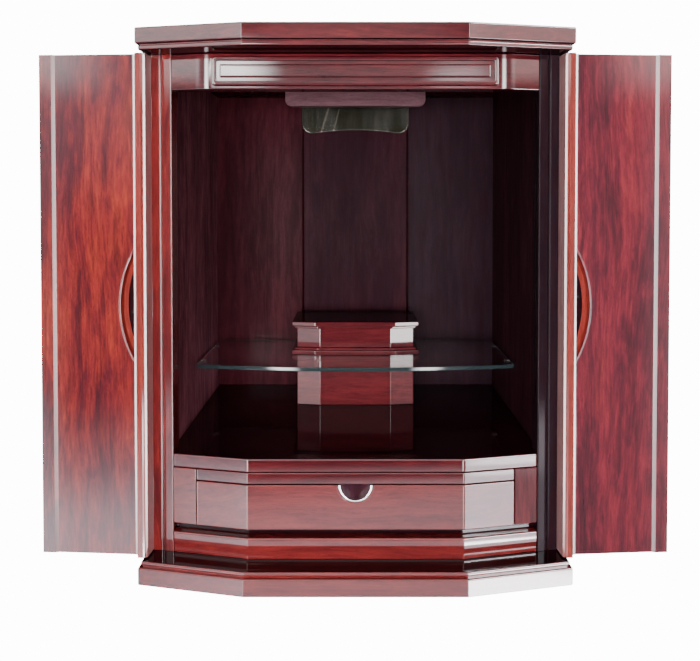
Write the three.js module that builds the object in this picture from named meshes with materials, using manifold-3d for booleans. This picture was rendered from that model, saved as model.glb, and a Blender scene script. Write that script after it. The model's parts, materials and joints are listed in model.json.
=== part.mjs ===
// Household altar cabinet: a tabletop cabinet of lacquered red rosewood with a three-facet
// front, a pair of two-leaf folding doors, one drawer, a glass shelf and a small pedestal.
// Millimetres, +Z up. The origin is the middle of the underside and the front faces -Y.

import * as THREE from 'three';
import { mergeVertices } from 'three/addons/utils/BufferGeometryUtils.js';
import Module from 'manifold-3d';

const wasm = await Module();
wasm.setup();

// Driving dimensions of the whole case
const CASE_HEIGHT = 600;
const CASE_WIDTH = 470; // across the crown and the base
const CASE_DEPTH = 400;
const FACET_ANGLE = 13; // degrees that the side facets of the front turn back
const FIT_GAP = 0.3; // between two pieces that touch
const CUT_OVERLAP = 1; // how far a cutting shape runs past the face it opens

// Base and crown
const BASE_SLAB = 19;
const BASE_GROOVE = 1.8;
const BASE_MOULDING = 4.2;
const CROWN_SLAB = 17.5;
const CROWN_GROOVE = 1.2;
const CROWN_MOULDING = 5.3;
const GROOVE_SETBACK = 5;
const MOULDING_SETBACK = 3;

// Case walls
const SIDE_OVERHANG = 9; // crown and base past the sides
const SIDE_WALL = 18;
const POST_WIDTH = 24;
const POST_DEPTH = 24;
const POST_GROOVE_WIDTH = 3;
const POST_GROOVE_DEPTH = 2;
const POST_ARRIS = 1.5;
const BODY_SETBACK = 34; // front of the case behind the front of the base
const BACK_PANEL = 9;
const BACK_REBATE = 3; // back panel in from the back edge
const BACK_LINING = 5;
const BACK_CENTRE_HALF_WIDTH = 77;
const BACK_CENTRE_PROUD = 2.5;
const BACK_GROOVE = 3;
const CEILING_BOARD = 6;

// Header over the altar opening
const HEADER_HEIGHT = 39;
const HEADER_DEPTH = 22;
const HEADER_SETBACK = 47; // middle of the header behind the front of the base
const HEADER_HALF_WIDTH = 156;
const HEADER_PANEL_THICK = 5;
const HEADER_PANEL_MARGIN = 3.5;
const HEADER_GROOVE_INSET = 5;
const HEADER_GROOVE_WIDTH = 4;
const HEADER_GROOVE_DEPTH = 3;
const HEADER_DIP_SHARE = 0.8; // of the panel's thickness
const HEADER_SWEEP_STEPS = 8;

// Altar floor, drawer section and plinth
const PLINTH_HEIGHT = 23;
const PLINTH_HOLLOW_HEIGHT = 11.5;
const PLINTH_HOLLOW_DEPTH = 1.6;
const PLINTH_DEPTH = 30;
const BEARER_THICK = 9;
const BEARER_SETBACK = 46;
const DRAWER_HEIGHT = 49;
const DRAWER_GAP = 0.8;
const RAIL_HEIGHT = 12.2;
const RAIL_DEPTH = 26;
const FLOOR_THICK = 15;
const DRAWER_HALF_WIDTH = 175;
const DRAWER_FRONT_THICK = 18;
const DRAWER_PROUD = 0.8;
const DRAWER_DEPTH = 230;
const DRAWER_SIDE = 9;
const DRAWER_BOTTOM = 5;
const DRAWER_BOX_HEIGHT = 42;

// Half-moon pull of the drawer
const PULL_RADIUS = 18.5;
const PULL_WALL = 2.2;
const PULL_DEPTH = 11;
const PULL_PROUD = 1;
const OPEN_TOP = 0.01; // keeps a cut open at the top edge

// Pedestal and glass shelf
const PEDESTAL_BOX_WIDTH = 160;
const PEDESTAL_BOX_FACET = 96;
const PEDESTAL_DEPTH = 96;
const PEDESTAL_BACK_GAP = 21.2; // to the middle of the back lining
const PEDESTAL_CORNER_SETBACK = 5.5;
const PEDESTAL_WALL = 9;
const PEDESTAL_LOWER_HEIGHT = 64;
const PEDESTAL_SLAB_PROUD = 6.5;
const PEDESTAL_SLAB_LOW = 9;
const PEDESTAL_UPPER_HEIGHT = 26;
const PEDESTAL_SLAB_TOP = 9;
const PEDESTAL_SLAB_STEP = 3;
const GLASS_THICK = 5;
const GLASS_SIDE_CLEARANCE = 4;
const GLASS_DEPTH = 201.2; // at its middle
const GLASS_BOW = 21; // the middle of the front edge ahead of its ends
const GLASS_BACK_CLEARANCE = 3;
const SHELF_PIN_RADIUS = 2.5;
const SHELF_PIN_LENGTH = 9;
const SHELF_PIN_INSET = 40;

// Lamp and the mirror behind it
const VALANCE_WIDTH = 181;
const VALANCE_DROP = 33;
const VALANCE_THICK = 9;
const VALANCE_BULGE = 7;
const VALANCE_BACK_DISTANCE = 180.7; // its front ahead of the back lining
const VALANCE_CORNER = 9;
const VALANCE_STEPS = 240;
const MIRROR_WIDTH = 160;
const MIRROR_DROP = 54;
const MIRROR_THICK = 4;
const MIRROR_CORNER = 16;
const MIRROR_ARCH = 5;
const MIRROR_ARCH_STEPS = 10;
const HOOK_X = 83;
const HOOK_Z = 255;
const HOOK_RADIUS = 1.8;
const HOOK_LENGTH = 9;

// Folding doors
const LEAF_THICK = 18;
const LEAF_END_GAP = 2; // over and under each leaf
const LEAF_FACE_GAP = 2; // leaf to post, and leaf to leaf when folded
const HINGE_OUTSET = 2.5; // hinge axis past the side of the case
const HINGE_EDGE_GAP = 2.6;
const MITRE_GAP = 0.8;
const MEETING_GAP = 1.5;
const OPEN_RECEDE = 4; // degrees that the open leaves lean back
const LEAF_OVERLAP = 3.8; // how far a folded inner leaf reaches past the case hinge
const LEAF_STRIP = 13.4;
const LEAF_BEVEL = 5.5;
const LEAF_SINK = 1.6;
const LEAF_COVE = 5.4;
const LEAF_COVE_RISE = 2.5;
const LEAF_LIP = 7.6;
const LEAF_LIP_RISE = 5.6;
const LEAF_ARRIS = 2.6;
const LEAF_ARRIS_TURN = 180 / 2.6; // degrees
const LEAF_COVE_STEPS = 5;
const SCOOP_LENGTH = 124;
const SCOOP_REACH = 17;
const SCOOP_DEPTH = 9;
const SCOOP_WALL_SLOPE = 4;
const SCOOP_Z = 301;

// Butt hinges
const BARREL_RADIUS = 2;
const BARREL_LENGTH = 36;
const BARREL_SPLIT_GAP = 0.4;
const PLATE_THICK = 0.7;
const PLATE_WIDTH = 15;
const PLATE_FACE_GAP = 0.15;
const CASE_HINGE_COUNT = 3;
const FOLD_HINGE_COUNT = 2;
const CASE_HINGE_INSET = 62; // from the ends of the leaf to the outermost hinges
const FOLD_HINGE_INSET = 138; // so that both fold hinges close into the altar opening

// Worked out from the above
const facetAngle = THREE.MathUtils.degToRad(FACET_ANGLE);
const caseFront = -CASE_DEPTH / 2;
const caseBack = CASE_DEPTH / 2;
const baseTop = BASE_SLAB + BASE_GROOVE + BASE_MOULDING;
const crownUnder = CASE_HEIGHT - CROWN_SLAB - CROWN_GROOVE - CROWN_MOULDING;
const sideOuter = CASE_WIDTH / 2 - SIDE_OVERHANG;
const axisX = sideOuter + HINGE_OUTSET;
const bendX = bendWidth();
const sideInner = sideOuter - SIDE_WALL;
const postInner = sideOuter - POST_WIDTH;
const betweenPosts = postInner - FIT_GAP;
const betweenSides = sideInner - FIT_GAP;
const postBack = frontY(sideOuter, BODY_SETBACK) + POST_DEPTH;
const backFace = caseBack - BACK_REBATE - BACK_PANEL;
const liningFace = backFace - FIT_GAP - BACK_LINING;
const liningProudFace = liningFace - BACK_CENTRE_PROUD;
const bearerUnder = baseTop + PLINTH_HEIGHT + FIT_GAP;
const bearerTop = bearerUnder + BEARER_THICK;
const drawerUnder = bearerTop + FIT_GAP;
const drawerTop = drawerUnder + DRAWER_HEIGHT;
const railUnder = drawerTop + DRAWER_GAP;
const railTop = railUnder + RAIL_HEIGHT;
const floorUnder = railTop + FIT_GAP;
const floorTop = floorUnder + FLOOR_THICK;
const ceilingUnder = crownUnder - FIT_GAP - CEILING_BOARD;
const headerUnder = crownUnder - FIT_GAP - HEADER_HEIGHT;
const glassUnder = floorTop + PEDESTAL_LOWER_HEIGHT + 2 * FIT_GAP;
const glassTop = glassUnder + GLASS_THICK;

// Half width of the middle facet, which makes the two leaves of a door nearly equally wide
function bendWidth() {
  const stretch = 1 / Math.cos(facetAngle);
  return (LEAF_OVERLAP + MEETING_GAP / 2 + axisX * stretch) / (1 + stretch);
}

// The front line of the plan: flat in the middle, then straight back to each side
function frontY(x, setback) {
  return caseFront + setback + Math.max(0, Math.abs(x) - bendX) * Math.tan(facetAngle);
}

// Solids: geometry of three.js in, joins and cuts by manifold

function solid(geometry) {
  geometry.deleteAttribute('normal');
  geometry.deleteAttribute('uv');
  const merged = mergeVertices(geometry, 1e-4);
  const mesh = new wasm.Mesh({
    numProp: 3,
    vertProperties: new Float32Array(merged.attributes.position.array),
    triVerts: new Uint32Array(merged.index.array),
  });
  return new wasm.Manifold(mesh);
}

function toGeometry(manifold) {
  const mesh = manifold.getMesh();
  const geometry = new THREE.BufferGeometry();
  geometry.setAttribute('position', new THREE.BufferAttribute(mesh.vertProperties, 3));
  geometry.setIndex(new THREE.BufferAttribute(mesh.triVerts, 1));
  return geometry;
}

function join(solids) {
  return solids.reduce((whole, piece) => whole.add(piece));
}

// A plan outline raised between two heights
function prism(points, low, high) {
  const shape = new THREE.Shape(points.map(([x, y]) => new THREE.Vector2(x, y)));
  const geometry = new THREE.ExtrudeGeometry(shape, { depth: high - low, bevelEnabled: false });
  geometry.translate(0, 0, low);
  return solid(geometry);
}

// An outline seen from the front (x, z), given thickness from its front face back
function frontPrism(points, front, back) {
  const shape = new THREE.Shape(points.map(([x, z]) => new THREE.Vector2(x, z)));
  const geometry = new THREE.ExtrudeGeometry(shape, { depth: back - front, bevelEnabled: false });
  geometry.rotateX(Math.PI / 2);
  geometry.translate(0, back, 0);
  return solid(geometry);
}

function block(xs, ys, zs) {
  const geometry = new THREE.BoxGeometry(xs[1] - xs[0], ys[1] - ys[0], zs[1] - zs[0]);
  geometry.translate((xs[0] + xs[1]) / 2, (ys[0] + ys[1]) / 2, (zs[0] + zs[1]) / 2);
  return solid(geometry);
}

function uprightCylinder(radius, x, y, low, high, sides = 16) {
  const geometry = new THREE.CylinderGeometry(radius, radius, high - low, sides);
  geometry.rotateX(Math.PI / 2);
  geometry.translate(x, y, (low + high) / 2);
  return solid(geometry);
}

// Points of an arc in a plane, from one angle to another in radians
function arc(centreX, centreY, radius, from, to, steps) {
  const points = [];
  for (let i = 0; i <= steps; i += 1) {
    const angle = from + ((to - from) * i) / steps;
    points.push([centreX + radius * Math.cos(angle), centreY + radius * Math.sin(angle)]);
  }
  return points;
}

// A board whose front follows the three facets
function facetedBoard(halfWidth, setback, backY, low, high) {
  const outline = [
    [-halfWidth, frontY(halfWidth, setback)],
    [-bendX, frontY(bendX, setback)],
    [bendX, frontY(bendX, setback)],
    [halfWidth, frontY(halfWidth, setback)],
    [halfWidth, backY],
    [-halfWidth, backY],
  ];
  return prism(outline, low, high);
}

// Finishes

const rosewood = { color: 0x7a2320, roughness: 0.28, metalness: 0 };
const rosewoodDark = { color: 0x3c1213, roughness: 0.3, metalness: 0 };
const brightMetal = { color: 0xd9d9de, roughness: 0.2, metalness: 1 };
const clearGlass = { color: 0xcfe3da, roughness: 0.05, metalness: 0, transparent: true, opacity: 0.4 };
const mirrorGlass = { color: 0x8c8f84, roughness: 0.08, metalness: 0.6 };

const cabinet = new THREE.Group();

function addPiece(parent, name, manifold, finish) {
  const mesh = new THREE.Mesh(toGeometry(manifold), new THREE.MeshStandardMaterial(finish));
  mesh.name = name;
  parent.add(mesh);
  return mesh;
}

// Base and crown: a slab, a groove all round and a thin moulding that is set back

function slabOutline(setback) {
  const halfWidth = CASE_WIDTH / 2 - setback;
  return [
    [-halfWidth, frontY(halfWidth, setback)],
    [-bendX, frontY(bendX, setback)],
    [bendX, frontY(bendX, setback)],
    [halfWidth, frontY(halfWidth, setback)],
    [halfWidth, caseBack],
    [-halfWidth, caseBack],
  ];
}

const base = join([
  prism(slabOutline(0), 0, BASE_SLAB),
  prism(slabOutline(GROOVE_SETBACK), BASE_SLAB, BASE_SLAB + BASE_GROOVE),
  prism(slabOutline(MOULDING_SETBACK), BASE_SLAB + BASE_GROOVE, baseTop),
]);
addPiece(cabinet, 'base', base, rosewood);

const crown = join([
  prism(slabOutline(MOULDING_SETBACK), crownUnder, crownUnder + CROWN_MOULDING),
  prism(slabOutline(GROOVE_SETBACK), crownUnder + CROWN_MOULDING, CASE_HEIGHT - CROWN_SLAB),
  prism(slabOutline(0), CASE_HEIGHT - CROWN_SLAB, CASE_HEIGHT),
]);
addPiece(cabinet, 'crown', crown, rosewood);

// Sides, front posts and back

const caseLow = baseTop + FIT_GAP;
const caseHigh = crownUnder - FIT_GAP;

function post(hand) {
  const grooveX = (sideOuter + postInner) / 2;
  const halfGroove = POST_GROOVE_WIDTH / 2;
  const front = (x) => frontY(x, BODY_SETBACK);
  const outline = [
    [sideOuter, postBack],
    [sideOuter, front(sideOuter) + POST_ARRIS],
    [sideOuter - POST_ARRIS, front(sideOuter)],
    [grooveX + halfGroove, front(grooveX + halfGroove)],
    [grooveX, front(grooveX) + POST_GROOVE_DEPTH],
    [grooveX - halfGroove, front(grooveX - halfGroove)],
    [postInner + POST_ARRIS, front(postInner)],
    [postInner, front(postInner) + POST_ARRIS],
    [postInner, postBack],
  ];
  return prism(outline.map(([x, y]) => [hand * x, y]), caseLow, caseHigh);
}

function span(hand, near, far) {
  return hand > 0 ? [near, far] : [-far, -near];
}

for (const [side, hand] of [['left', -1], ['right', 1]]) {
  addPiece(cabinet, `post_${side}`, post(hand), rosewood);
  const wallDepth = [postBack + FIT_GAP, caseBack - BACK_REBATE];
  const wall = block(span(hand, sideInner, sideOuter), wallDepth, [caseLow, caseHigh]);
  addPiece(cabinet, `side_panel_${side}`, wall, rosewood);
}

const backPanel = block(
  [-betweenSides, betweenSides],
  [backFace, caseBack - BACK_REBATE],
  [caseLow, caseHigh],
);
addPiece(cabinet, 'back_panel', backPanel, rosewoodDark);

// Lining of the altar: one board with a proud middle field and a groove on each side of it

const liningLow = floorTop + FIT_GAP;
const liningHigh = ceilingUnder - FIT_GAP;
const liningBack = backFace - FIT_GAP;

function backLining() {
  const half = BACK_CENTRE_HALF_WIDTH;
  const zs = [liningLow, liningHigh];
  const board = block([-betweenSides, betweenSides], [liningFace, liningBack], zs);
  const field = block([-half, half], [liningProudFace, liningBack], zs);
  const grooveDepth = [liningProudFace, liningFace + BACK_GROOVE];
  const grooves = [-1, 1].map((hand) => block(span(hand, half, half + BACK_GROOVE), grooveDepth, zs));
  return board.add(field).subtract(join(grooves));
}
addPiece(cabinet, 'back_lining', backLining(), rosewoodDark);

const ceiling = block(
  [-betweenSides, betweenSides],
  [postBack + FIT_GAP, liningBack],
  [ceilingUnder, caseHigh],
);
addPiece(cabinet, 'ceiling_board', ceiling, rosewoodDark);

// Header: a rail whose ends sweep forward to the posts, with a fielded panel on its middle

const headerFront = caseFront + HEADER_SETBACK;
const headerBack = headerFront + HEADER_DEPTH;

function headerRail() {
  const postFace = frontY(postInner, BODY_SETBACK) + POST_ARRIS;
  const sweep = [];
  for (let i = 0; i <= HEADER_SWEEP_STEPS; i += 1) {
    const t = i / HEADER_SWEEP_STEPS;
    const x = HEADER_HALF_WIDTH + (betweenPosts - HEADER_HALF_WIDTH) * t;
    const dip = Math.sin(Math.PI * t) * HEADER_PANEL_THICK * HEADER_DIP_SHARE;
    sweep.push([x, headerFront + (postFace - headerFront) * t + dip]);
  }
  const right = [...sweep, [betweenPosts, headerBack]];
  const left = right.map(([x, y]) => [-x, y]).reverse();
  return prism([...left, ...right], headerUnder, caseHigh);
}
addPiece(cabinet, 'header_rail', headerRail(), rosewood);

function headerPanel() {
  const low = headerUnder + HEADER_PANEL_MARGIN;
  const high = caseHigh - HEADER_PANEL_MARGIN;
  const back = headerFront - FIT_GAP;
  const front = back - HEADER_PANEL_THICK;
  const board = block([-HEADER_HALF_WIDTH, HEADER_HALF_WIDTH], [front, back], [low, high]);
  const frame = (inset, depth) => block(
    [-HEADER_HALF_WIDTH + inset, HEADER_HALF_WIDTH - inset],
    [front - depth, front + depth],
    [low + inset, high - inset],
  );
  const ring = frame(HEADER_GROOVE_INSET, HEADER_GROOVE_DEPTH);
  const field = frame(HEADER_GROOVE_INSET + HEADER_GROOVE_WIDTH, HEADER_GROOVE_DEPTH * 2);
  return board.subtract(ring.subtract(field));
}
addPiece(cabinet, 'header_panel', headerPanel(), rosewood);

// Altar floor, drawer section and plinth

function betweenPostsThenSides(setback, backY, low, high) {
  const frontPart = facetedBoard(betweenPosts, setback, postBack + FIT_GAP + CUT_OVERLAP, low, high);
  const backPart = block([-betweenSides, betweenSides], [postBack + FIT_GAP, backY], [low, high]);
  return frontPart.add(backPart);
}

const floorBoard = betweenPostsThenSides(BODY_SETBACK, liningBack, floorUnder, floorTop);
addPiece(cabinet, 'altar_floor', floorBoard, rosewoodDark);

const railBack = caseFront + BODY_SETBACK + RAIL_DEPTH;
const rail = facetedBoard(DRAWER_HALF_WIDTH, BODY_SETBACK, railBack, railUnder, railTop);
addPiece(cabinet, 'drawer_rail', rail, rosewood);

const bearer = betweenPostsThenSides(BEARER_SETBACK, liningBack, bearerUnder, bearerTop);
addPiece(cabinet, 'drawer_bearer', bearer, rosewoodDark);

const drawerFrontY = caseFront + BODY_SETBACK - DRAWER_PROUD;
const drawerBackY = drawerFrontY + DRAWER_DEPTH;

function bayStile(hand) {
  const inner = DRAWER_HALF_WIDTH + DRAWER_GAP;
  const outline = [
    [inner, frontY(inner, BODY_SETBACK)],
    [betweenPosts, frontY(betweenPosts, BODY_SETBACK)],
    [betweenPosts, drawerBackY],
    [inner, drawerBackY],
  ];
  return prism(outline.map(([x, y]) => [hand * x, y]), bearerTop + FIT_GAP, railTop);
}
addPiece(cabinet, 'drawer_stile_left', bayStile(-1), rosewood);
addPiece(cabinet, 'drawer_stile_right', bayStile(1), rosewood);

function plinth() {
  const low = baseTop + FIT_GAP;
  const high = baseTop + PLINTH_HEIGHT;
  const bandLow = low + PLINTH_HOLLOW_HEIGHT;
  const backY = caseFront + BODY_SETBACK + PLINTH_DEPTH;
  const hollow = facetedBoard(betweenPosts, BODY_SETBACK + PLINTH_HOLLOW_DEPTH, backY, low, bandLow);
  return join([hollow, facetedBoard(betweenPosts, BODY_SETBACK, backY, bandLow, high)]);
}
addPiece(cabinet, 'plinth', plinth(), rosewood);

// Drawer: a faceted front with a half-moon pull, two sides, a back and a bottom

function halfRound(radius, fromY, toY, topZ) {
  const outline = arc(0, topZ, radius, Math.PI, 2 * Math.PI, 20);
  return frontPrism(outline, fromY, toY);
}

function drawerFront() {
  const setback = BODY_SETBACK - DRAWER_PROUD;
  const half = DRAWER_HALF_WIDTH;
  const facets = [[-half, 0], [-bendX, 0], [bendX, 0], [half, 0]];
  const face = facets.map(([x]) => [x, frontY(x, setback)]);
  const back = facets.map(([x]) => [x, frontY(x, setback) + DRAWER_FRONT_THICK]).reverse();
  const board = prism([...face, ...back], drawerUnder, drawerTop);
  const radius = PULL_RADIUS + FIT_GAP;
  const floorY = drawerFrontY + PULL_DEPTH + FIT_GAP;
  return board.subtract(halfRound(radius, drawerFrontY - CUT_OVERLAP, floorY, drawerTop + OPEN_TOP));
}

function pullRing() {
  const face = drawerFrontY - PULL_PROUD;
  const end = drawerFrontY + PULL_DEPTH;
  const outer = halfRound(PULL_RADIUS, face, end, drawerTop);
  const from = face - CUT_OVERLAP;
  const inner = halfRound(PULL_RADIUS - PULL_WALL, from, end + CUT_OVERLAP, drawerTop + OPEN_TOP);
  return outer.subtract(inner);
}

const drawer = new THREE.Group();
cabinet.add(drawer);
addPiece(drawer, 'drawer_front', drawerFront(), rosewood);
addPiece(drawer, 'drawer_pull', pullRing(), brightMetal);

const drawerBoxOuter = DRAWER_HALF_WIDTH - DRAWER_GAP;
const drawerBoxFront = frontY(drawerBoxOuter, BODY_SETBACK - DRAWER_PROUD) + DRAWER_FRONT_THICK + FIT_GAP;
const drawerBoxLow = drawerUnder + DRAWER_GAP;
const drawerBoxHigh = drawerBoxLow + DRAWER_BOX_HEIGHT;
for (const [side, hand] of [['left', -1], ['right', 1]]) {
  const board = block(
    span(hand, drawerBoxOuter - DRAWER_SIDE, drawerBoxOuter),
    [drawerBoxFront, drawerBackY],
    [drawerBoxLow, drawerBoxHigh],
  );
  addPiece(drawer, `drawer_side_${side}`, board, rosewoodDark);
}
const drawerInnerX = drawerBoxOuter - DRAWER_SIDE - FIT_GAP;
const drawerBack = block(
  [-drawerInnerX, drawerInnerX],
  [drawerBackY - DRAWER_SIDE, drawerBackY],
  [drawerBoxLow, drawerBoxHigh],
);
addPiece(drawer, 'drawer_back', drawerBack, rosewoodDark);

function drawerBottom() {
  const setback = BODY_SETBACK - DRAWER_PROUD + DRAWER_FRONT_THICK + FIT_GAP;
  const backY = drawerBackY - DRAWER_SIDE - FIT_GAP;
  return facetedBoard(drawerInnerX, setback, backY, drawerBoxLow, drawerBoxLow + DRAWER_BOTTOM);
}
addPiece(drawer, 'drawer_bottom', drawerBottom(), rosewoodDark);

// Pedestal: a hollow lower box under the glass, and a slab, box and slab on top of it

const pedestalBackY = liningProudFace - PEDESTAL_BACK_GAP;
const pedestalFrontY = pedestalBackY - PEDESTAL_DEPTH;

function pedestalOutline(grow) {
  const half = PEDESTAL_BOX_WIDTH / 2 + grow;
  const facet = PEDESTAL_BOX_FACET / 2 + grow;
  const front = pedestalFrontY - grow;
  const back = pedestalBackY + grow / 2;
  return [
    [-half, front + PEDESTAL_CORNER_SETBACK],
    [-facet, front],
    [facet, front],
    [half, front + PEDESTAL_CORNER_SETBACK],
    [half, back],
    [-half, back],
  ];
}

const lowerBoxLow = floorTop + FIT_GAP;
const lowerBoxHigh = lowerBoxLow + PEDESTAL_LOWER_HEIGHT;
const lowerHollow = prism(
  pedestalOutline(-PEDESTAL_WALL),
  lowerBoxLow - PEDESTAL_WALL,
  lowerBoxHigh - PEDESTAL_WALL,
);
const lowerBox = prism(pedestalOutline(0), lowerBoxLow, lowerBoxHigh).subtract(lowerHollow);
addPiece(cabinet, 'pedestal_lower_box', lowerBox, rosewood);

const footLow = glassTop + FIT_GAP;
const footHigh = footLow + PEDESTAL_SLAB_LOW;
const pedestalFoot = join([
  prism(pedestalOutline(PEDESTAL_SLAB_PROUD), footLow, footHigh - PEDESTAL_SLAB_STEP),
  prism(pedestalOutline(PEDESTAL_SLAB_STEP), footHigh - PEDESTAL_SLAB_STEP, footHigh),
]);
addPiece(cabinet, 'pedestal_foot', pedestalFoot, rosewood);

const upperLow = footHigh + FIT_GAP;
const upperHigh = upperLow + PEDESTAL_UPPER_HEIGHT;
const upperHollow = prism(
  pedestalOutline(-PEDESTAL_WALL),
  upperLow - CUT_OVERLAP,
  upperHigh - PEDESTAL_WALL,
);
const upperBox = prism(pedestalOutline(0), upperLow, upperHigh).subtract(upperHollow);
addPiece(cabinet, 'pedestal_upper_box', upperBox, rosewood);

const topLow = upperHigh + FIT_GAP;
const topHigh = topLow + PEDESTAL_SLAB_TOP;
const pedestalTop = join([
  prism(pedestalOutline(PEDESTAL_SLAB_STEP), topLow, topLow + PEDESTAL_SLAB_STEP),
  prism(pedestalOutline(PEDESTAL_SLAB_PROUD), topLow + PEDESTAL_SLAB_STEP, topHigh),
]);
addPiece(cabinet, 'pedestal_top', pedestalTop, rosewood);

// Glass shelf with a bowed front, on four metal pins in the sides

const glassHalf = sideInner - GLASS_SIDE_CLEARANCE;
const glassBack = liningProudFace - GLASS_BACK_CLEARANCE;
const glassFrontMiddle = glassBack - GLASS_DEPTH;
const glassFrontEnd = glassFrontMiddle + GLASS_BOW;

function glassShelf() {
  const radius = (glassHalf * glassHalf + GLASS_BOW * GLASS_BOW) / (2 * GLASS_BOW);
  const halfSweep = Math.asin(glassHalf / radius);
  const centreY = glassFrontMiddle + radius;
  const down = -Math.PI / 2;
  const edge = arc(0, centreY, radius, down - halfSweep, down + halfSweep, 24);
  return prism([...edge, [glassHalf, glassBack], [-glassHalf, glassBack]], glassUnder, glassTop);
}
addPiece(cabinet, 'glass_shelf', glassShelf(), clearGlass);

const pinZ = glassUnder - FIT_GAP - SHELF_PIN_RADIUS;
const pinPlaces = { front: glassFrontEnd + SHELF_PIN_INSET, back: glassBack - SHELF_PIN_INSET };
for (const [side, hand] of [['left', -1], ['right', 1]]) {
  for (const [place, y] of Object.entries(pinPlaces)) {
    const geometry = new THREE.CylinderGeometry(SHELF_PIN_RADIUS, SHELF_PIN_RADIUS, SHELF_PIN_LENGTH, 16);
    geometry.rotateZ(Math.PI / 2);
    geometry.translate(hand * (betweenSides - SHELF_PIN_LENGTH / 2), y, pinZ);
    addPiece(cabinet, `shelf_pin_${place}_${side}`, solid(geometry), brightMetal);
  }
}

// Lamp valance under the ceiling, the mirror on the back wall and a small hook

function valance() {
  const half = VALANCE_WIDTH / 2;
  const high = ceilingUnder - FIT_GAP;
  const low = high - VALANCE_DROP;
  const corner = VALANCE_CORNER;
  const outline = [
    [half, high],
    [-half, high],
    ...arc(-half + corner, low + corner, corner, Math.PI, 1.5 * Math.PI, 6),
    ...arc(half - corner, low + corner, corner, 1.5 * Math.PI, 2 * Math.PI, 6),
  ];
  const front = liningFace - VALANCE_BACK_DISTANCE;
  const board = frontPrism(outline, front, front + VALANCE_THICK + VALANCE_BULGE);
  const radius = (half * half + VALANCE_BULGE * VALANCE_BULGE) / (2 * VALANCE_BULGE);
  const [from, to] = [low - CUT_OVERLAP, high + CUT_OVERLAP];
  const round = uprightCylinder(radius, 0, front + radius, from, to, VALANCE_STEPS);
  return board.intersect(round);
}
addPiece(cabinet, 'lamp_valance', valance(), rosewood);

function backMirror() {
  const half = MIRROR_WIDTH / 2;
  const high = ceilingUnder - FIT_GAP;
  const low = high - MIRROR_DROP;
  const corner = MIRROR_CORNER;
  const flat = half - corner;
  const arch = [];
  for (let i = 1; i < MIRROR_ARCH_STEPS; i += 1) {
    const x = -flat + (2 * flat * i) / MIRROR_ARCH_STEPS;
    arch.push([x, low + MIRROR_ARCH * (1 - (x / flat) ** 2)]);
  }
  const outline = [
    [half, high],
    [-half, high],
    ...arc(-half + corner, low + corner, corner, Math.PI, 1.5 * Math.PI, 6),
    ...arch,
    ...arc(half - corner, low + corner, corner, 1.5 * Math.PI, 2 * Math.PI, 6),
  ];
  const face = liningProudFace - FIT_GAP;
  return frontPrism(outline, face - MIRROR_THICK, face);
}
addPiece(cabinet, 'back_mirror', backMirror(), mirrorGlass);

function hook() {
  const geometry = new THREE.CylinderGeometry(HOOK_RADIUS, HOOK_RADIUS, HOOK_LENGTH, 12);
  geometry.translate(HOOK_X, liningFace - FIT_GAP - HOOK_LENGTH / 2, HOOK_Z);
  return solid(geometry);
}
addPiece(cabinet, 'back_hook', hook(), brightMetal);

// Folding doors. Each leaf is drawn in its own plan frame: u runs from its hinge axis towards
// the meeting edge, w rises from the inner face outwards, and the axis lies half a gap behind w = 0.

const axisSetback = BODY_SETBACK - LEAF_FACE_GAP / 2;
const axisY = frontY(axisX, axisSetback);
const outerReach = (axisX - bendX) / Math.cos(facetAngle);
const innerReach = bendX - MEETING_GAP / 2;
const leafLow = baseTop + LEAF_END_GAP;
const leafHigh = crownUnder - LEAF_END_GAP;
const mitre = Math.tan(facetAngle / 2);
const openTurn = Math.PI - facetAngle + (OPEN_RECEDE * Math.PI) / 180;

function leafPoint(hand, u, w) {
  return [-hand * u, -(w + LEAF_FACE_GAP / 2)];
}

function leafPrism(hand, profile) {
  return prism(profile.map(([u, w]) => leafPoint(hand, u, w)), leafLow, leafHigh);
}

// u of the mitred end at height w, measured from the fold axis
function mitreU(w) {
  return MITRE_GAP / 2 - (w + LEAF_FACE_GAP / 2) * mitre;
}

function outerLeafProfile() {
  const end = (w) => outerReach - mitreU(w);
  const start = HINGE_EDGE_GAP;
  const high = LEAF_THICK;
  const field = high - LEAF_SINK;
  return [
    [start, 0],
    [end(0), 0],
    [end(high), high],
    [end(high) - LEAF_STRIP, high],
    [end(high) - LEAF_STRIP - LEAF_BEVEL, field],
    [start + LEAF_STRIP + LEAF_BEVEL, field],
    [start + LEAF_STRIP, high],
    [start, high],
  ];
}

const lipStart = innerReach - LEAF_ARRIS - LEAF_LIP;
const coveStart = lipStart - LEAF_COVE;

function innerLeafProfile() {
  const high = LEAF_THICK;
  const field = high - LEAF_SINK;
  const lipLow = field + LEAF_COVE_RISE;
  const lipHigh = lipLow + LEAF_LIP_RISE;
  const profile = [
    [innerReach, 0],
    [mitreU(0), 0],
    [mitreU(high), high],
    [mitreU(high) + LEAF_STRIP, high],
    [mitreU(high) + LEAF_STRIP + LEAF_BEVEL, field],
  ];
  for (let i = 0; i <= LEAF_COVE_STEPS; i += 1) {
    const turn = (i / LEAF_COVE_STEPS) * (Math.PI / 2);
    profile.push([coveStart + LEAF_COVE * Math.sin(turn), field + LEAF_COVE_RISE * (1 - Math.cos(turn))]);
  }
  profile.push([lipStart + LEAF_LIP, lipHigh]);
  const arrisTurn = (LEAF_ARRIS_TURN * Math.PI) / 180;
  profile.push(...arc(innerReach - LEAF_ARRIS, lipHigh - LEAF_ARRIS, LEAF_ARRIS, arrisTurn, 0, 4));
  return profile;
}

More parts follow.
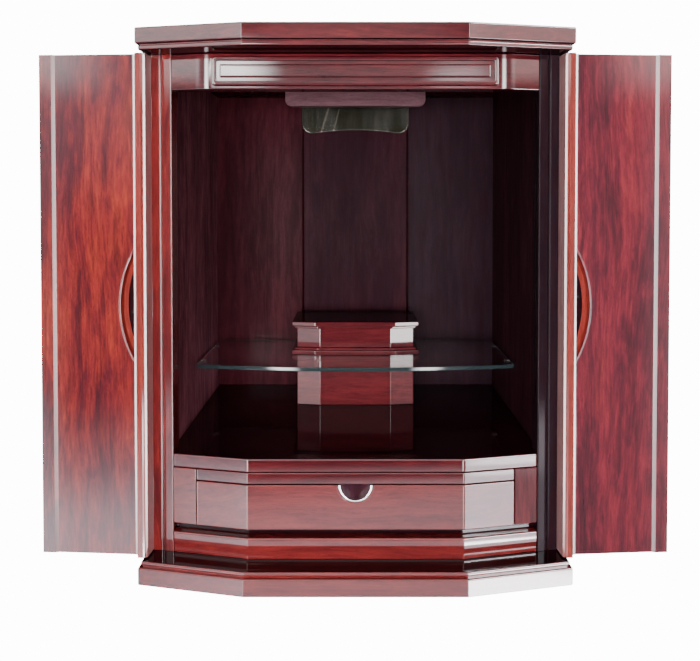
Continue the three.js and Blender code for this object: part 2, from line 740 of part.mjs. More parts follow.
// Crescent finger scoop beside the lip: a shallow cone cut off along the cove
function scoop(hand) {
  const half = SCOOP_LENGTH / 2;
  const radius = (half * half + SCOOP_REACH * SCOOP_REACH) / (2 * SCOOP_REACH);
  const surface = LEAF_THICK - LEAF_SINK;
  const above = 1;
  const slope = SCOOP_WALL_SLOPE / SCOOP_DEPTH;
  const geometry = new THREE.CylinderGeometry(
    radius - SCOOP_WALL_SLOPE,
    radius + above * slope,
    SCOOP_DEPTH + above,
    144,
  );
  const middleU = coveStart - SCOOP_REACH + radius;
  const [x, y] = leafPoint(hand, middleU, surface - (SCOOP_DEPTH - above) / 2);
  geometry.translate(x, y, SCOOP_Z);
  const [nearX] = leafPoint(hand, coveStart, 0);
  const [farX] = leafPoint(hand, coveStart - 2 * SCOOP_REACH, 0);
  const [, deepY] = leafPoint(hand, 0, surface - 2 * SCOOP_DEPTH);
  const [, outY] = leafPoint(hand, 0, surface + 2 * above);
  const keep = block(
    [Math.min(nearX, farX), Math.max(nearX, farX)],
    [outY, deepY],
    [SCOOP_Z - SCOOP_LENGTH, SCOOP_Z + SCOOP_LENGTH],
  );
  return solid(geometry).intersect(keep);
}

function hingeHeights(count, inset) {
  const low = leafLow + inset;
  const high = leafHigh - inset;
  return Array.from({ length: count }, (unused, i) => low + ((high - low) * i) / (count - 1));
}

// Room for the barrels in the end of a leaf
function barrelRoom(x, y, heights) {
  const half = BARREL_LENGTH / 2 + BARREL_SPLIT_GAP;
  const radius = BARREL_RADIUS + BARREL_SPLIT_GAP;
  return join(heights.map((z) => uprightCylinder(radius, x, y, z - half, z + half)));
}

// One half of a butt hinge: a thin plate on a face and its share of the barrel.
// direction points along the plate, and side says on which side of the axis its face lies.
function hingeHalf(foldX, z, direction, side, faceDistance, outerKnuckles) {
  const third = BARREL_LENGTH / 3;
  const gap = BARREL_SPLIT_GAP / 2;
  const half = BARREL_LENGTH / 2;
  const spans = outerKnuckles
    ? [[z - half, z - third / 2 - gap], [z + third / 2 + gap, z + half]]
    : [[z - third / 2 + gap, z + third / 2 - gap]];
  const ordered = (a, b) => (a < b ? [a, b] : [b, a]);
  const plateFace = faceDistance - PLATE_FACE_GAP;
  const plateYs = ordered(side * (plateFace - PLATE_THICK), side * plateFace);
  const plateXs = ordered(0, direction * PLATE_WIDTH);
  const clearXs = ordered(direction * (BARREL_RADIUS + BARREL_SPLIT_GAP), direction * PLATE_WIDTH);
  const parts = spans.map(([low, high]) => uprightCylinder(BARREL_RADIUS, 0, 0, low, high));
  parts.push(...spans.map((zs) => block(plateXs, plateYs, zs)));
  if (outerKnuckles) {
    parts.push(block(clearXs, plateYs, [z - half, z + half]));
  }
  return join(parts).translate([foldX, 0, 0]);
}

const caseHingeHeights = hingeHeights(CASE_HINGE_COUNT, CASE_HINGE_INSET);
const foldHingeHeights = hingeHeights(FOLD_HINGE_COUNT, FOLD_HINGE_INSET);

for (const [side, hand] of [['left', -1], ['right', 1]]) {
  const atCase = new THREE.Group();
  atCase.position.set(hand * axisX, axisY, 0);
  cabinet.add(atCase);

  const onPost = new THREE.Group();
  onPost.rotation.z = hand * (Math.PI / 2);
  atCase.add(onPost);

  const outer = new THREE.Group();
  outer.rotation.z = hand * (facetAngle + openTurn);
  atCase.add(outer);

  const inner = new THREE.Group();
  inner.position.set(-hand * outerReach, 0, 0);
  inner.rotation.z = -hand * Math.PI;
  outer.add(inner);

  const outerLeaf = leafPrism(hand, outerLeafProfile())
    .subtract(barrelRoom(-hand * outerReach, 0, foldHingeHeights));
  addPiece(outer, `leaf_outer_${side}`, outerLeaf, rosewood);

  const [reliefX, reliefY] = leafPoint(hand, outerReach, -LEAF_FACE_GAP / 2);
  const innerLeaf = leafPrism(hand, innerLeafProfile())
    .subtract(barrelRoom(0, 0, foldHingeHeights))
    .subtract(barrelRoom(reliefX, reliefY, caseHingeHeights))
    .subtract(scoop(hand));
  addPiece(inner, `leaf_inner_${side}`, innerLeaf, rosewood);

  const leafFace = LEAF_FACE_GAP / 2;
  caseHingeHeights.forEach((z, i) => {
    const postHalf = hingeHalf(0, z, hand, 1, HINGE_OUTSET, true);
    const leafHalf = hingeHalf(0, z, -hand, -1, leafFace, false);
    addPiece(onPost, `case_hinge_post_${side}_${i + 1}`, postHalf, brightMetal);
    addPiece(outer, `case_hinge_leaf_${side}_${i + 1}`, leafHalf, brightMetal);
  });
  foldHingeHeights.forEach((z, i) => {
    const outerHalf = hingeHalf(-hand * outerReach, z, hand, -1, leafFace, true);
    const innerHalf = hingeHalf(0, z, -hand, -1, leafFace, false);
    addPiece(outer, `fold_hinge_outer_${side}_${i + 1}`, outerHalf, brightMetal);
    addPiece(inner, `fold_hinge_inner_${side}_${i + 1}`, innerHalf, brightMetal);
  });
}

export default cabinet;
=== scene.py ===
import json
import math
import bmesh
import bpy
from mathutils import Matrix, Vector


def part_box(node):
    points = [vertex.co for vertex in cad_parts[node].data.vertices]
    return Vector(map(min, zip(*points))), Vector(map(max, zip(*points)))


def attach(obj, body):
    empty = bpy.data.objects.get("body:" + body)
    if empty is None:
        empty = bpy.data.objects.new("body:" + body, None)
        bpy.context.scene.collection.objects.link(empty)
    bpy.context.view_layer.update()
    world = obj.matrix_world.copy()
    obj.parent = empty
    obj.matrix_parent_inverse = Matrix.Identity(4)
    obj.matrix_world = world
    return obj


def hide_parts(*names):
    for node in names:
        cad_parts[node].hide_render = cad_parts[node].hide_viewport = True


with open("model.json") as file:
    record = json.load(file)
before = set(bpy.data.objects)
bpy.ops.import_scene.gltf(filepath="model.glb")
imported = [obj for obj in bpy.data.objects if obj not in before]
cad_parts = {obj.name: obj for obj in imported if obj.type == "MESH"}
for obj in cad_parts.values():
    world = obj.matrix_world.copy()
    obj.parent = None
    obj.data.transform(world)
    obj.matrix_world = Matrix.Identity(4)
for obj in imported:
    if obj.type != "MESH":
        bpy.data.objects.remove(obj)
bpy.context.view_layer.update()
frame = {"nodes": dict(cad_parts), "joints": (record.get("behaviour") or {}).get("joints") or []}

mm = 0.001
scene = bpy.context.scene
sides = (("left", -1), ("right", 1))


def linked(name, data):
    made = bpy.data.objects.new(name, data)
    scene.collection.objects.link(made)
    return made


# camera at the photo's viewing angle
cameraSetup = {
    "place": (0.0, -1.030, 0.418),
    "pitchDown": 1.4,        # degrees
    "focal": 41.27,          # mm
    "sensor": 36.0,          # mm
    "axisRow": 217.9,        # pixels in the 700 x 661 frame
    "centreColumn": 355.3,
    "frameSize": (700, 661),
}


def makeCamera(setup):
    data = bpy.data.cameras.new("photoCamera")
    data.lens = setup["focal"]
    data.sensor_width = setup["sensor"]
    wide, high = setup["frameSize"]
    data.shift_y = -(high / 2 - setup["axisRow"]) / wide
    data.shift_x = -(setup["centreColumn"] - wide / 2) / wide
    data.clip_start = 0.01
    camera = linked("photoCamera", data)
    camera.location = setup["place"]
    camera.rotation_euler = (math.pi / 2 - math.radians(setup["pitchDown"]), 0, 0)
    scene.camera = camera


makeCamera(cameraSetup)
print("camera ready")


# node trees: a socket with operators, and one method for every other node
class Link:
    def __init__(self, kit, socket):
        self.kit = kit
        self.socket = socket

    def other(self, output):
        return Link(self.kit, self.socket.node.outputs[output])

    def math(self, operation, *values):
        return self.kit.node("ShaderNodeMath", {"operation": operation}, values)

    def sine(self):
        return self.math("SINE", self)

    def magnitude(self):
        return self.math("ABSOLUTE", self)

    def __add__(self, value):
        return self.math("ADD", self, value)

    __radd__ = __add__

    def __sub__(self, value):
        return self.math("SUBTRACT", self, value)

    def __rsub__(self, value):
        return self.math("SUBTRACT", value, self)

    def __mul__(self, value):
        return self.math("MULTIPLY", self, value)

    __rmul__ = __mul__

    def __truediv__(self, value):
        return self.math("DIVIDE", self, value)


class NodeKit:
    def node(self, kind, settings=None, values=(), out=0):
        made = self.tree.nodes.new(kind)
        for key, value in (settings or {}).items():
            if key == "stops":
                self.setStops(made, value)
            else:
                setattr(made, key, value)
        pairs = values.items() if isinstance(values, dict) else enumerate(values)
        for key, value in pairs:
            self.feed(made.inputs[key], value)
        return Link(self, made.outputs[out])

    def setStops(self, ramp, stops):
        elements = ramp.color_ramp.elements
        while len(elements) > 1:
            elements.remove(elements[-1])
        for i, (position, colour) in enumerate(stops):
            element = elements[0] if i == 0 else elements.new(position)
            element.position = position
            element.color = (*colour, 1)

    def feed(self, socket, value):
        if isinstance(value, Link):
            self.tree.links.new(value.socket, socket)
        else:
            socket.default_value = (*value, 1) if socket.type == "RGBA" else value

    def axes(self, vector):
        x = self.node("ShaderNodeSeparateXYZ", None, [vector])
        return x, x.other("Y"), x.other("Z")


class Shader(NodeKit):
    def __init__(self, owner, outputKind="ShaderNodeOutputMaterial"):
        self.owner = owner
        owner.use_nodes = True
        self.tree = owner.node_tree
        self.tree.nodes.clear()
        self.output = self.tree.nodes.new(outputKind)

    def finish(self, shader):
        self.feed(self.output.inputs["Surface"], shader)
        return self.owner

    def principled(self, values):
        return self.finish(self.node("ShaderNodeBsdfPrincipled", None, values))

    def objectPlace(self):
        return self.node("ShaderNodeTexCoord", out="Object")

    # the object's own metres, shifted and turned so that the grain runs along local z
    def grainSpace(self, grain="z", offset=(0, 0, 0)):
        turn = (0, math.pi / 2, 0) if grain == "x" else (0, 0, 0)
        return self.node("ShaderNodeMapping", None, {
            "Vector": self.objectPlace(), "Location": offset, "Rotation": turn})

    # scales are in waves per metre, across and along the grain
    def noise(self, space, across, along, detail=2.0, roughness=0.5, distortion=0.0):
        scales = (across, across, along)
        scaled = self.node("ShaderNodeVectorMath", {"operation": "MULTIPLY"}, [space, scales])
        return self.node("ShaderNodeTexNoise", None, {
            "Vector": scaled, "Scale": 1.0, "Detail": detail, "Roughness": roughness,
            "Distortion": distortion})

    def ramp(self, factor, stops):
        return self.node("ShaderNodeValToRGB", {"stops": stops}, {"Fac": factor})

    # a mask that fades from one grey to another between two levels
    def mask(self, factor, start, end, before, after):
        return self.ramp(factor, [(start, (before,) * 3), (end, (after,) * 3)])

    def mixColour(self, factor, first, second, blend="MIX"):
        return self.node("ShaderNodeMix", {"data_type": "RGBA", "blend_type": blend},
                         {0: factor, 6: first, 7: second}, out=2)

    def bump(self, height, strength, distance):
        return self.node("ShaderNodeBump", None, {
            "Strength": strength, "Distance": distance, "Height": height})


def newShader(name):
    return Shader(bpy.data.materials.new(name))


# lacquered rosewood: a stop of the ramp, then red, green and blue in thousandths
woodTones = {
    # the two door tones differ as painted light: the left door's orange and the right door's crimson stand
    # in for the light and reflections on each, not for different wood
    "doorLeft": [(0.22, 50, 5, 11), (0.40, 125, 9, 15), (0.55, 260, 19, 16), (0.78, 440, 48, 20)],
    "doorRight": [(0.22, 42, 4, 11), (0.40, 105, 8, 19), (0.56, 215, 14, 28), (0.80, 350, 31, 36)],
    "case": [(0.12, 26, 3.5, 5), (0.38, 75, 7.5, 11), (0.62, 135, 14, 17), (0.88, 220, 31, 24)],
    "upright": [(0.12, 36, 3.5, 5), (0.38, 130, 10, 11), (0.62, 230, 20, 18), (0.88, 340, 42, 24)],
    "sideBoard": [(0.15, 12, 2, 4), (0.45, 36, 5, 8), (0.70, 64, 8, 11), (0.92, 100, 14, 14)],
    "inside": [(0.15, 12, 2, 5), (0.42, 34, 6, 10), (0.68, 62, 10, 14), (0.90, 96, 15, 17)],
    # the inner walls' tones are painted reflection: the left wall is much paler than the right one for what
    # each reflects, the real boards being the same wood
    "wallLeft": [(0.15, 100, 34, 52), (0.45, 250, 76, 104), (0.70, 380, 112, 138), (0.92, 500, 150, 170)],
    "wallRight": [(0.15, 12, 4, 7), (0.45, 30, 9, 14), (0.70, 50, 14, 20), (0.92, 72, 20, 25)],
    # the three lining boards' tones differ as painted reflection, the left one palest and the right one
    # darkest, all from the same wood
    "boardLeft": [(0.15, 13, 3, 5), (0.42, 36, 7, 11), (0.68, 64, 12, 17), (0.90, 100, 18, 21)],
    "boardMiddle": [(0.15, 9, 3, 6), (0.42, 22, 6, 11), (0.68, 44, 11, 17), (0.90, 74, 16, 21)],
    "boardRight": [(0.15, 8, 5, 8), (0.42, 16, 9, 13), (0.68, 28, 14, 20), (0.90, 44, 20, 27)],
    "floor": [(0.15, 4, 1, 2), (0.45, 9, 1.5, 3), (0.70, 24, 3, 5), (0.92, 38, 6, 7)],
    "lip": [(0.12, 130, 12, 10), (0.45, 280, 32, 24), (0.85, 400, 62, 42)],
    # the valance's pale greyish mauve is partly its own tone and partly a painted highlight
    "valance": [(0.15, 50, 22, 28), (0.85, 210, 105, 125)],
    # a pale tone for the lip's end faces: painted highlight
    "tip": [(0.15, 300, 110, 110), (0.85, 620, 380, 370)],
}

# scales across and along the grain in waves per metre, and how strongly each mark shows
woodFigure = {
    "warp": (7.0, 2.2), "warpShare": 0.055, "figure": (21.0, 3.4), "blotch": (75.0, 20.0),
    "fleck": (330.0, 38.0), "fleckShare": 0.34, "vein": (150.0, 5.5), "veinShare": 0.50,
    "fibre": (1300.0, 55.0), "fibreShare": 0.38, "pore": (2600.0, 160.0), "poreShare": 0.45,
    "ring": 420.0, "fineLine": 1700.0, "wave": (60.0, 14.0), "bump": 0.10, "bumpHeight": 0.0006,
}


# figure, growth rings, dark veins, fibres and pores under a clear coat
def rosewood(name, tone, grain, offset, coatRough=0.06, figureSize=1.0, coat=1.0, figured=1.0):
    f = woodFigure
    s = newShader(name)
    space = s.grainSpace(grain, offset)
    warp = s.noise(space, *f["warp"], 3.0).other("Color")
    bent = s.node("ShaderNodeMix", {"data_type": "VECTOR"}, {0: f["warpShare"], 4: space, 5: warp}, out=1)
    figure = s.noise(bent, *[scale / figureSize for scale in f["figure"]], 5.0, 0.56, 0.5)
    blotch = s.noise(space, *[scale / figureSize for scale in f["blotch"]], 4.0, 0.62, 0.6)
    flecks = s.mask(s.noise(bent, *f["fleck"], 3.0, 0.6), 0.40, 0.60, 1.0, 0.0)
    veins = s.mask(s.noise(bent, *f["vein"], 4.0, 0.62, 0.4), 0.34, 0.50, 0.0, 1.0)
    fibres = s.noise(space, *f["fibre"], 2.0, 0.6)
    pores = s.mask(s.noise(space, *f["pore"], 1.0), 0.30, 0.38, 1.0, 0.0)
    x, y, _ = s.axes(bent)
    across = x + 0.6 * y
    rings = (across * f["ring"] + figure * 26.0).sine() * 0.5 + 0.5
    fineLines = (across * f["fineLine"] + figure * 75.0).sine()
    level = (figure * 0.78 + blotch * 0.52 - 0.14) * figured + (0.51 - 0.51 * figured)
    level = level + rings * 0.06 + fineLines * 0.022 - 0.05
    base = s.ramp(level, [(stop, [part / 1000 for part in colour]) for stop, *colour in woodTones[tone]])
    veined = s.mixColour((1 - veins) * (f["veinShare"] * figured), base, (0.020, 0.003, 0.005))
    flecked = s.mixColour(flecks * (f["fleckShare"] * figured), veined, (0.024, 0.004, 0.006))
    fibred = s.mixColour(fibres * f["fibreShare"], flecked, (0.55, 0.48, 0.52), "MULTIPLY")
    pored = s.mixColour(pores * f["poreShare"], fibred, (0.016, 0.003, 0.004))
    height = s.noise(space, *f["wave"]) * 0.55 - pores * 0.10 + fibres * 0.02
    return s.principled({
        "Base Color": pored, "Roughness": 0.30 + fibres * 0.10 + pores * 0.12,
        "Normal": s.bump(height, f["bump"], f["bumpHeight"]), "Coat Weight": coat,
        "Coat Roughness": coatRough, "Coat IOR": 1.55, "Specular IOR Level": 0.0})


def polishedMetal(name):
    s = newShader(name)
    space = s.grainSpace()
    clouds = s.noise(space, 120.0, 120.0, 4.0, 0.6)
    scratches = s.noise(space, 3000.0, 240.0)
    return s.principled({
        "Base Color": s.ramp(clouds, [(0.3, (0.62, 0.63, 0.66)), (0.7, (0.80, 0.80, 0.82))]),
        "Metallic": 1.0, "Roughness": 0.12 + clouds * 0.10 + scratches * 0.05,
        "Normal": s.bump(scratches, 0.08, 0.0002)})


def clearGlass(name, tint, smear, transmission):
    s = newShader(name)
    return s.principled({
        "Base Color": tint, "Roughness": s.noise(s.grainSpace(), 18.0, 18.0, 3.0) * smear, "IOR": 1.5,
        "Transmission Weight": transmission})


# painted reflections on the mirror, as pale diagonal streaks: start, lean, width and strength
mirrorPaintedReflections = [(-0.0515, 0.30, 0.0022, 0.75), (-0.0330, 0.24, 0.0014, 0.60)]


def greyMirror(name):
    s = newShader(name)
    streaks = s.noise(s.grainSpace(), 42.0, 7.0, 4.0, 0.55, 0.8)
    tint = s.ramp(streaks, [(0.36, (0.17, 0.165, 0.12)), (0.52, (0.30, 0.295, 0.24)),
                            (0.66, (0.46, 0.46, 0.42))])
    x, _, z = s.axes(s.objectPlace())
    # each streak is a painted reflection mixed into the tint
    for start, lean, wide, pale in mirrorPaintedReflections:
        away = (x - (z - 0.515) * lean - start).magnitude()
        tint = s.mixColour(s.mask(away / wide, 0.35, 1.0, 1.0, 0.0) * pale, tint, (1.0, 0.98, 0.82))
    return s.principled({"Base Color": tint, "Metallic": 0.9, "Roughness": 0.03 + streaks * 0.10})


# each board's tone, the way its grain runs, where its figure is cut from, and what else differs
dull = {"coatRough": 0.16, "coat": 0.10}
dullWall = {"coatRough": 0.2, "coat": 0.08}
woodPlan = {
    "crown": ("case", "x", (0.31, 0.12, 0.05), {}),
    "base": ("upright", "x", (1.27, 0.55, 0.38), {"figured": 0.6}),
    "upright": ("upright", "z", (0.13, 0.71, 0.22), {}),
    # the right post's darker board tone and thin coat are painted shade, the shadow that the right door
    # casts on it
    "uprightDark": ("boardRight", "z", (0.47, 0.29, 0.83), {"coat": 0.10}),
    "side": ("sideBoard", "z", (0.93, 0.17, 0.64), {"coatRough": 0.10, "coat": 0.4, "figured": 0.7}),
    # the right drawer stile: the darker case tone and thin coat are painted shade on it
    "stileDark": ("case", "z", (0.71, 0.44, 0.12), {"coat": 0.10}),
    "header": ("case", "x", (0.57, 0.83, 0.19), {}),
    "drawer": ("upright", "x", (0.42, 0.36, 0.77), {"figureSize": 0.8, "figured": 0.55}),
    "rail": ("case", "x", (0.82, 0.56, 0.27), {"figureSize": 0.8, "figured": 0.55}),
    # the valance tone is partly a painted highlight
    "valance": ("valance", "x", (0.23, 0.96, 0.47), {"coat": 0.10, "figured": 0.5}),
    "pedestal": ("case", "x", (1.72, 0.24, 0.51), {"figureSize": 0.7, "figured": 0.6}),
    # doorLeft and doorRight are painted light: the same wood given different tones for the light and
    # reflections on each door
    "doorLeft": ("doorLeft", "z", (0.21, 0.33, 0.46), {}),
    "doorRight": ("doorRight", "z", (1.38, 0.62, 1.15), {}),
    "lip": ("lip", "z", (0.28, 0.52, 0.97), {"figured": 0.5}),
    # the lip's end faces: a pale tone as painted highlight
    "tip": ("tip", "z", (0.19, 0.47, 0.26), {"figured": 0.3}),
    "scoop": ("lip", "z", (0.49, 0.15, 0.61), {"coat": 0.08, "figured": 0.5}),
    "inside": ("inside", "z", (0.66, 0.91, 0.08), {**dull, "figured": 0.7}),
    # wallLeft and wallRight: tones that are painted reflection, pale on the left and dark on the right
    "wallLeft": ("wallLeft", "z", (0.52, 0.27, 0.39), dullWall),
    "wallRight": ("wallRight", "z", (0.77, 0.63, 1.04), dullWall),
    # boardLeft, boardMiddle and boardRight: tones that are painted reflection
    "boardLeft": ("boardLeft", "z", (0.66, 0.91, 0.08), dull),
    "boardMiddle": ("boardMiddle", "z", (1.16, 0.41, 0.58), {**dull, "figured": 0.8}),
    "boardRight": ("boardRight", "z", (0.86, 1.21, 0.33), {**dull, "figured": 0.7}),
    "floor": ("floor", "x", (0.36, 0.18, 0.84), {"coatRough": 0.03, "coat": 0.6}),
}
wood = {}
for board, (tone, grain, offset, extra) in woodPlan.items():
    wood[board] = rosewood("rosewood" + board[0].upper() + board[1:], tone, grain, offset, **extra)
metal = polishedMetal("polishedPlate")
glassFace = clearGlass("shelfGlass", (0.93, 0.985, 0.965), 0.012, 1.0)
glassEdge = clearGlass("shelfGlassEdge", (0.030, 0.046, 0.050), 0.10, 0.35)
mirror = greyMirror("greyMirror")
print("finishes ready")


# outlines in millimetres
def arc(centreX, centreY, radius, start, end, steps):
    turns = [math.radians(start + (end - start) * i / steps) for i in range(steps + 1)]
    return [(centreX + radius * math.cos(turn), centreY + radius * math.sin(turn)) for turn in turns]


# a quarter round on a slab's edge, as setback and height
def edgeRound(inner, z, radius, start, end, steps=5):
    return [(inner - dx, high) for dx, high in arc(0, z, radius, start, end, steps)]


# a quarter round on a front edge, as inset and depth
def frontRound(inset, front, radius):
    return [(inset + radius - dx, front + radius - dy) for dx, dy in arc(0, 0, radius, 0, 90, 5)][1:]


def curve(start, middle, end, t):
    return start * (1 - t) ** 2 + middle * 2 * t * (1 - t) + end * t ** 2


def roundCorners(points, radii, steps=4):
    result = []
    count = len(points)
    for i, radius in enumerate(radii if isinstance(radii, list) else [radii] * count):
        here = Vector(points[i])
        before = Vector(points[i - 1]) - here
        after = Vector(points[(i + 1) % count]) - here
        reach = min(radius, before.length * 0.45, after.length * 0.45)
        start = here + before.normalized() * reach
        end = here + after.normalized() * reach
        result += [tuple(curve(start, here, end, k / steps)) for k in range(steps + 1)]
    return result


# the box of a CAD node in millimetres
def boxOf(node):
    return [[value / mm for value in corner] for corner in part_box(node)]


# closed rings of equal counts in millimetres, joined by quads and capped at both ends
def ringStack(rings):
    bm = bmesh.new()
    made = [[bm.verts.new([value * mm for value in point]) for point in ring] for ring in rings]
    count = len(made[0])
    for low, high in zip(made, made[1:]):
        for i in range(count):
            j = (i + 1) % count
            bm.faces.new((low[i], low[j], high[j], high[i]))
    bm.faces.new(made[0][::-1])
    bm.faces.new(made[-1])
    return bm


def meshFrom(name, bm):
    mesh = bpy.data.meshes.new(name)
    bm.to_mesh(mesh)
    bm.free()
    return mesh


# the plain mesh that an object's modifiers give, after which the helpers go
def applied(holder, *tools):
    graph = bpy.context.evaluated_depsgraph_get()
    result = bpy.data.meshes.new_from_object(holder.evaluated_get(graph))
    holder.modifiers.clear()
    for used in (holder, *tools):
        bpy.data.objects.remove(used)
    return result


def objectFrom(name, bm, materials, body, nodes, sharp=35.0):
    bmesh.ops.remove_doubles(bm, verts=bm.verts, dist=1e-6)
    bmesh.ops.recalc_face_normals(bm, faces=bm.faces)
    return dress(name, meshFrom(name, bm), materials, body, nodes, sharp)


# large flats keep their own normal, and the arrises blend between them
def dress(name, mesh, materials, body, nodes, sharp):
    mesh.materials.clear()
    for material in materials:
        mesh.materials.append(material)
    mesh.shade_smooth()
    mesh.set_sharp_from_angle(angle=math.radians(sharp))
    holder = linked(name + "Holder", mesh)
    weighted = holder.modifiers.new("weighted", "WEIGHTED_NORMAL")
    weighted.mode = "FACE_AREA"
    weighted.weight = 90
    weighted.keep_sharp = True
    piece = linked(name, applied(holder))
    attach(piece, body)
    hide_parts(*nodes)
    return piece


# which of its materials each face wears
def paint(piece, rule):
    for polygon in piece.data.polygons:
        polygon.material_index = int(rule(polygon))


def bevelled(mesh, width, segments, angle=9.0):
    holder = linked("bevelHolder", mesh)
    bevel = holder.modifiers.new("bevel", "BEVEL")
    bevel.width = width * mm
    bevel.segments = segments
    bevel.limit_method = "ANGLE"
    bevel.angle_limit = math.radians(angle)
    return applied(holder)


# a board from its CAD node, with its arrises rounded over
def roundedNode(node, materials, body, width=1.0, segments=3):
    bm = bmesh.new()
    bm.from_mesh(frame["nodes"][node].data)
    bmesh.ops.remove_doubles(bm, verts=bm.verts, dist=2e-6)
    bmesh.ops.dissolve_limit(bm, angle_limit=math.radians(0.6), verts=bm.verts, edges=bm.edges)
    mesh = bevelled(meshFrom(node + "Round", bm), width, segments)
    return dress(node + "_finished", mesh, materials, body, [node], 50.0)


# the plan of the case: a flat middle facet and two that turn back
planShape = {"bend": 117.98, "facetAngle": 13.0, "cornerRound": 0.8}
facet = math.radians(planShape["facetAngle"])
(_, caseFront, _), (caseHalf, caseBack, baseTop) = boxOf("base")


def frontY(x, setback):
    return caseFront + setback + max(0.0, abs(x) - planShape["bend"]) * math.tan(facet)


def facetLoop(half, setback, back):
    bend = planShape["bend"]
    front = [(x, frontY(x, setback)) for x in (-half, -bend, bend, half)]
    return roundCorners(front + [(half, back), (-half, back)], planShape["cornerRound"])


def planStack(profile, loopOf):
    return ringStack([[(x, y, z) for x, y in loopOf(setback)] for setback, z in profile])


# base and crown, with a groove and a thin rounded moulding all round
mouldingShape = {"arris": 1.6, "grooveSetback": 4.6, "mouldingSetback": 3.0, "bead": 1.5,
                 "baseSlab": 19.0, "baseGroove": 1.8, "crownSlab": 17.5, "crownGroove": 1.2}


def slabLoop(setback):
    return facetLoop(caseHalf - setback, setback, caseBack - min(setback, mouldingShape["arris"]))


def makeBase():
    m = mouldingShape
    a, b = m["arris"], m["bead"]
    inner = m["mouldingSetback"] + b
    slabTop = m["baseSlab"]
    grooveTop = slabTop + m["baseGroove"]
    profile = [(0.8, 0.0), (0.0, 0.8), (0.0, slabTop - a)]
    profile += edgeRound(a, slabTop - a, a, 0, 90)[1:]
    profile += [(m["grooveSetback"], slabTop), (m["grooveSetback"], grooveTop)]
    profile += edgeRound(inner, grooveTop + b, b, -90, 0, 4)
    profile += edgeRound(inner, baseTop - b, b, 0, 90)
    made = objectFrom("base_board", planStack(profile, slabLoop), [wood["base"], wood["floor"]],
                      "cabinet", ["base"])
    # the moulding's top ledge wears the darkest floor tone: painted dark reflection
    paint(made, lambda face: face.normal.z > 0.95 and face.center.z > (baseTop - 0.5) * mm)


def makeCrown():
    m = mouldingShape
    (_, _, under), (_, _, top) = boxOf("crown")
    a, b = m["arris"], m["bead"]
    inner = m["mouldingSetback"] + b
    slabUnder = top - m["crownSlab"]
    grooveUnder = slabUnder - m["crownGroove"]
    profile = edgeRound(inner, under + b, b, -90, 0)
    profile += edgeRound(inner, grooveUnder - b, b, 0, 90, 4)
    profile += [(m["grooveSetback"], grooveUnder), (m["grooveSetback"], slabUnder)]
    profile += edgeRound(a, slabUnder + a, a, -90, 0)
    profile += edgeRound(a, top - a, a, 0, 90)
    made = objectFrom("crown_board", planStack(profile, slabLoop), [wood["crown"], wood["floor"]],
                      "cabinet", ["crown"])
    # downward faces wear the darkest floor tone: painted shade under the crown
    paint(made, lambda face: face.normal.z < -0.6)


makeBase()
makeCrown()
print("base and crown ready")


# front posts: two flat strips parted by a groove, with rounded arrises
postShape = {"setback": 34.0, "groove": 1.5, "grooveDepth": 2.0, "back": 0.8, "arris": 1.7, "small": 0.9,
             "valley": 0.2}


def makePost(hand, side):
    p = postShape
    (x0, _, z0), (x1, back, z1) = boxOf("post_" + side)
    inner, outer = sorted((abs(x0), abs(x1)))
    middle = (outer + inner) / 2
    front = [(outer, 0.0), (middle + p["groove"], 0.0), (middle, p["grooveDepth"]),
             (middle - p["groove"], 0.0), (inner, 0.0)]
    points = [(outer, back)] + [(x, frontY(x, p["setback"]) + deep) for x, deep in front] + [(inner, back)]
    radii = [p[name] for name in ("back", "arris", "small", "valley", "small", "arris", "back")]
    bm = ringStack([[(hand * x, y, z) for x, y in roundCorners(points, radii)] for z in (z0, z1)])
    # the right post wears a darker tone: painted shade from the right door
    finish = wood["upright" if hand < 0 else "uprightDark"]
    objectFrom("front_post_" + side, bm, [finish], "cabinet", ["post_" + side], sharp=60.0)


for side, hand in sides:
    makePost(hand, side)
    # the inner faces of the side panels wear the wall tones, which are painted reflection
    wall = wood["wallLeft" if hand < 0 else "wallRight"]
    panel = roundedNode("side_panel_" + side, [wood["side"], wall], "cabinet", 1.2)
    paint(panel, lambda face: face.normal.x * hand < -0.9)
for node, finish in (("back_panel", "side"), ("ceiling_board", "inside")):
    roundedNode(node, [wood[finish]], "cabinet", 0.7)


# back lining: three boards, the middle one proud between two grooves
liningShape = {"middleHalf": 77.0, "grooveWidth": 3.0, "grooveDepth": 3.0, "proud": 2.5, "arris": 0.8}


def makeLining():
    n = liningShape
    (_, front, z0), (half, back, z1) = boxOf("back_lining")
    a, middle = n["arris"], n["middleHalf"]
    outer = middle + n["grooveWidth"]
    side = front + n["proud"]
    floor = side + n["grooveDepth"]
    right = [(middle - a, front), (middle, front + a), (middle, floor), (outer, floor),
             (outer, side + a), (outer + a, side), (half, side), (half, back)]
    loop = right + [(-x, y) for x, y in reversed(right)]
    bm = ringStack([[(x, y, z) for x, y in loop] for z in (z0, z1)])
    # the left, middle and right boards get tones that are painted reflection
    boards = [wood[name] for name in ("boardMiddle", "boardLeft", "boardRight", "floor")]
    made = objectFrom("back_lining_boards", bm, boards, "cabinet", ["back_lining"])

    def boardOf(face):
        away = abs(face.center.x) / mm
        # groove faces wear the darkest floor tone: painted shade in the grooves
        if middle - 0.1 < away < outer + 0.1:
            return 3
        if away > outer:
            return 1 if face.center.x < 0 else 2
        return 0

    paint(made, boardOf)


makeLining()
altarFloor = roundedNode("altar_floor", [wood["floor"], wood["rail"]], "cabinet", 2.0, 4)
paint(altarFloor, lambda face: face.normal.y < -0.4 and face.center.y < -0.13)
roundedNode("drawer_bearer", [wood["floor"]], "cabinet", 0.8)
# the right stile's darker finish is painted shade
for part, finish in (("rail", "rail"), ("stile_left", "drawer"), ("stile_right", "stileDark")):
    roundedNode("drawer_" + part, [wood[finish]], "cabinet", 1.1)
print("case boards ready")


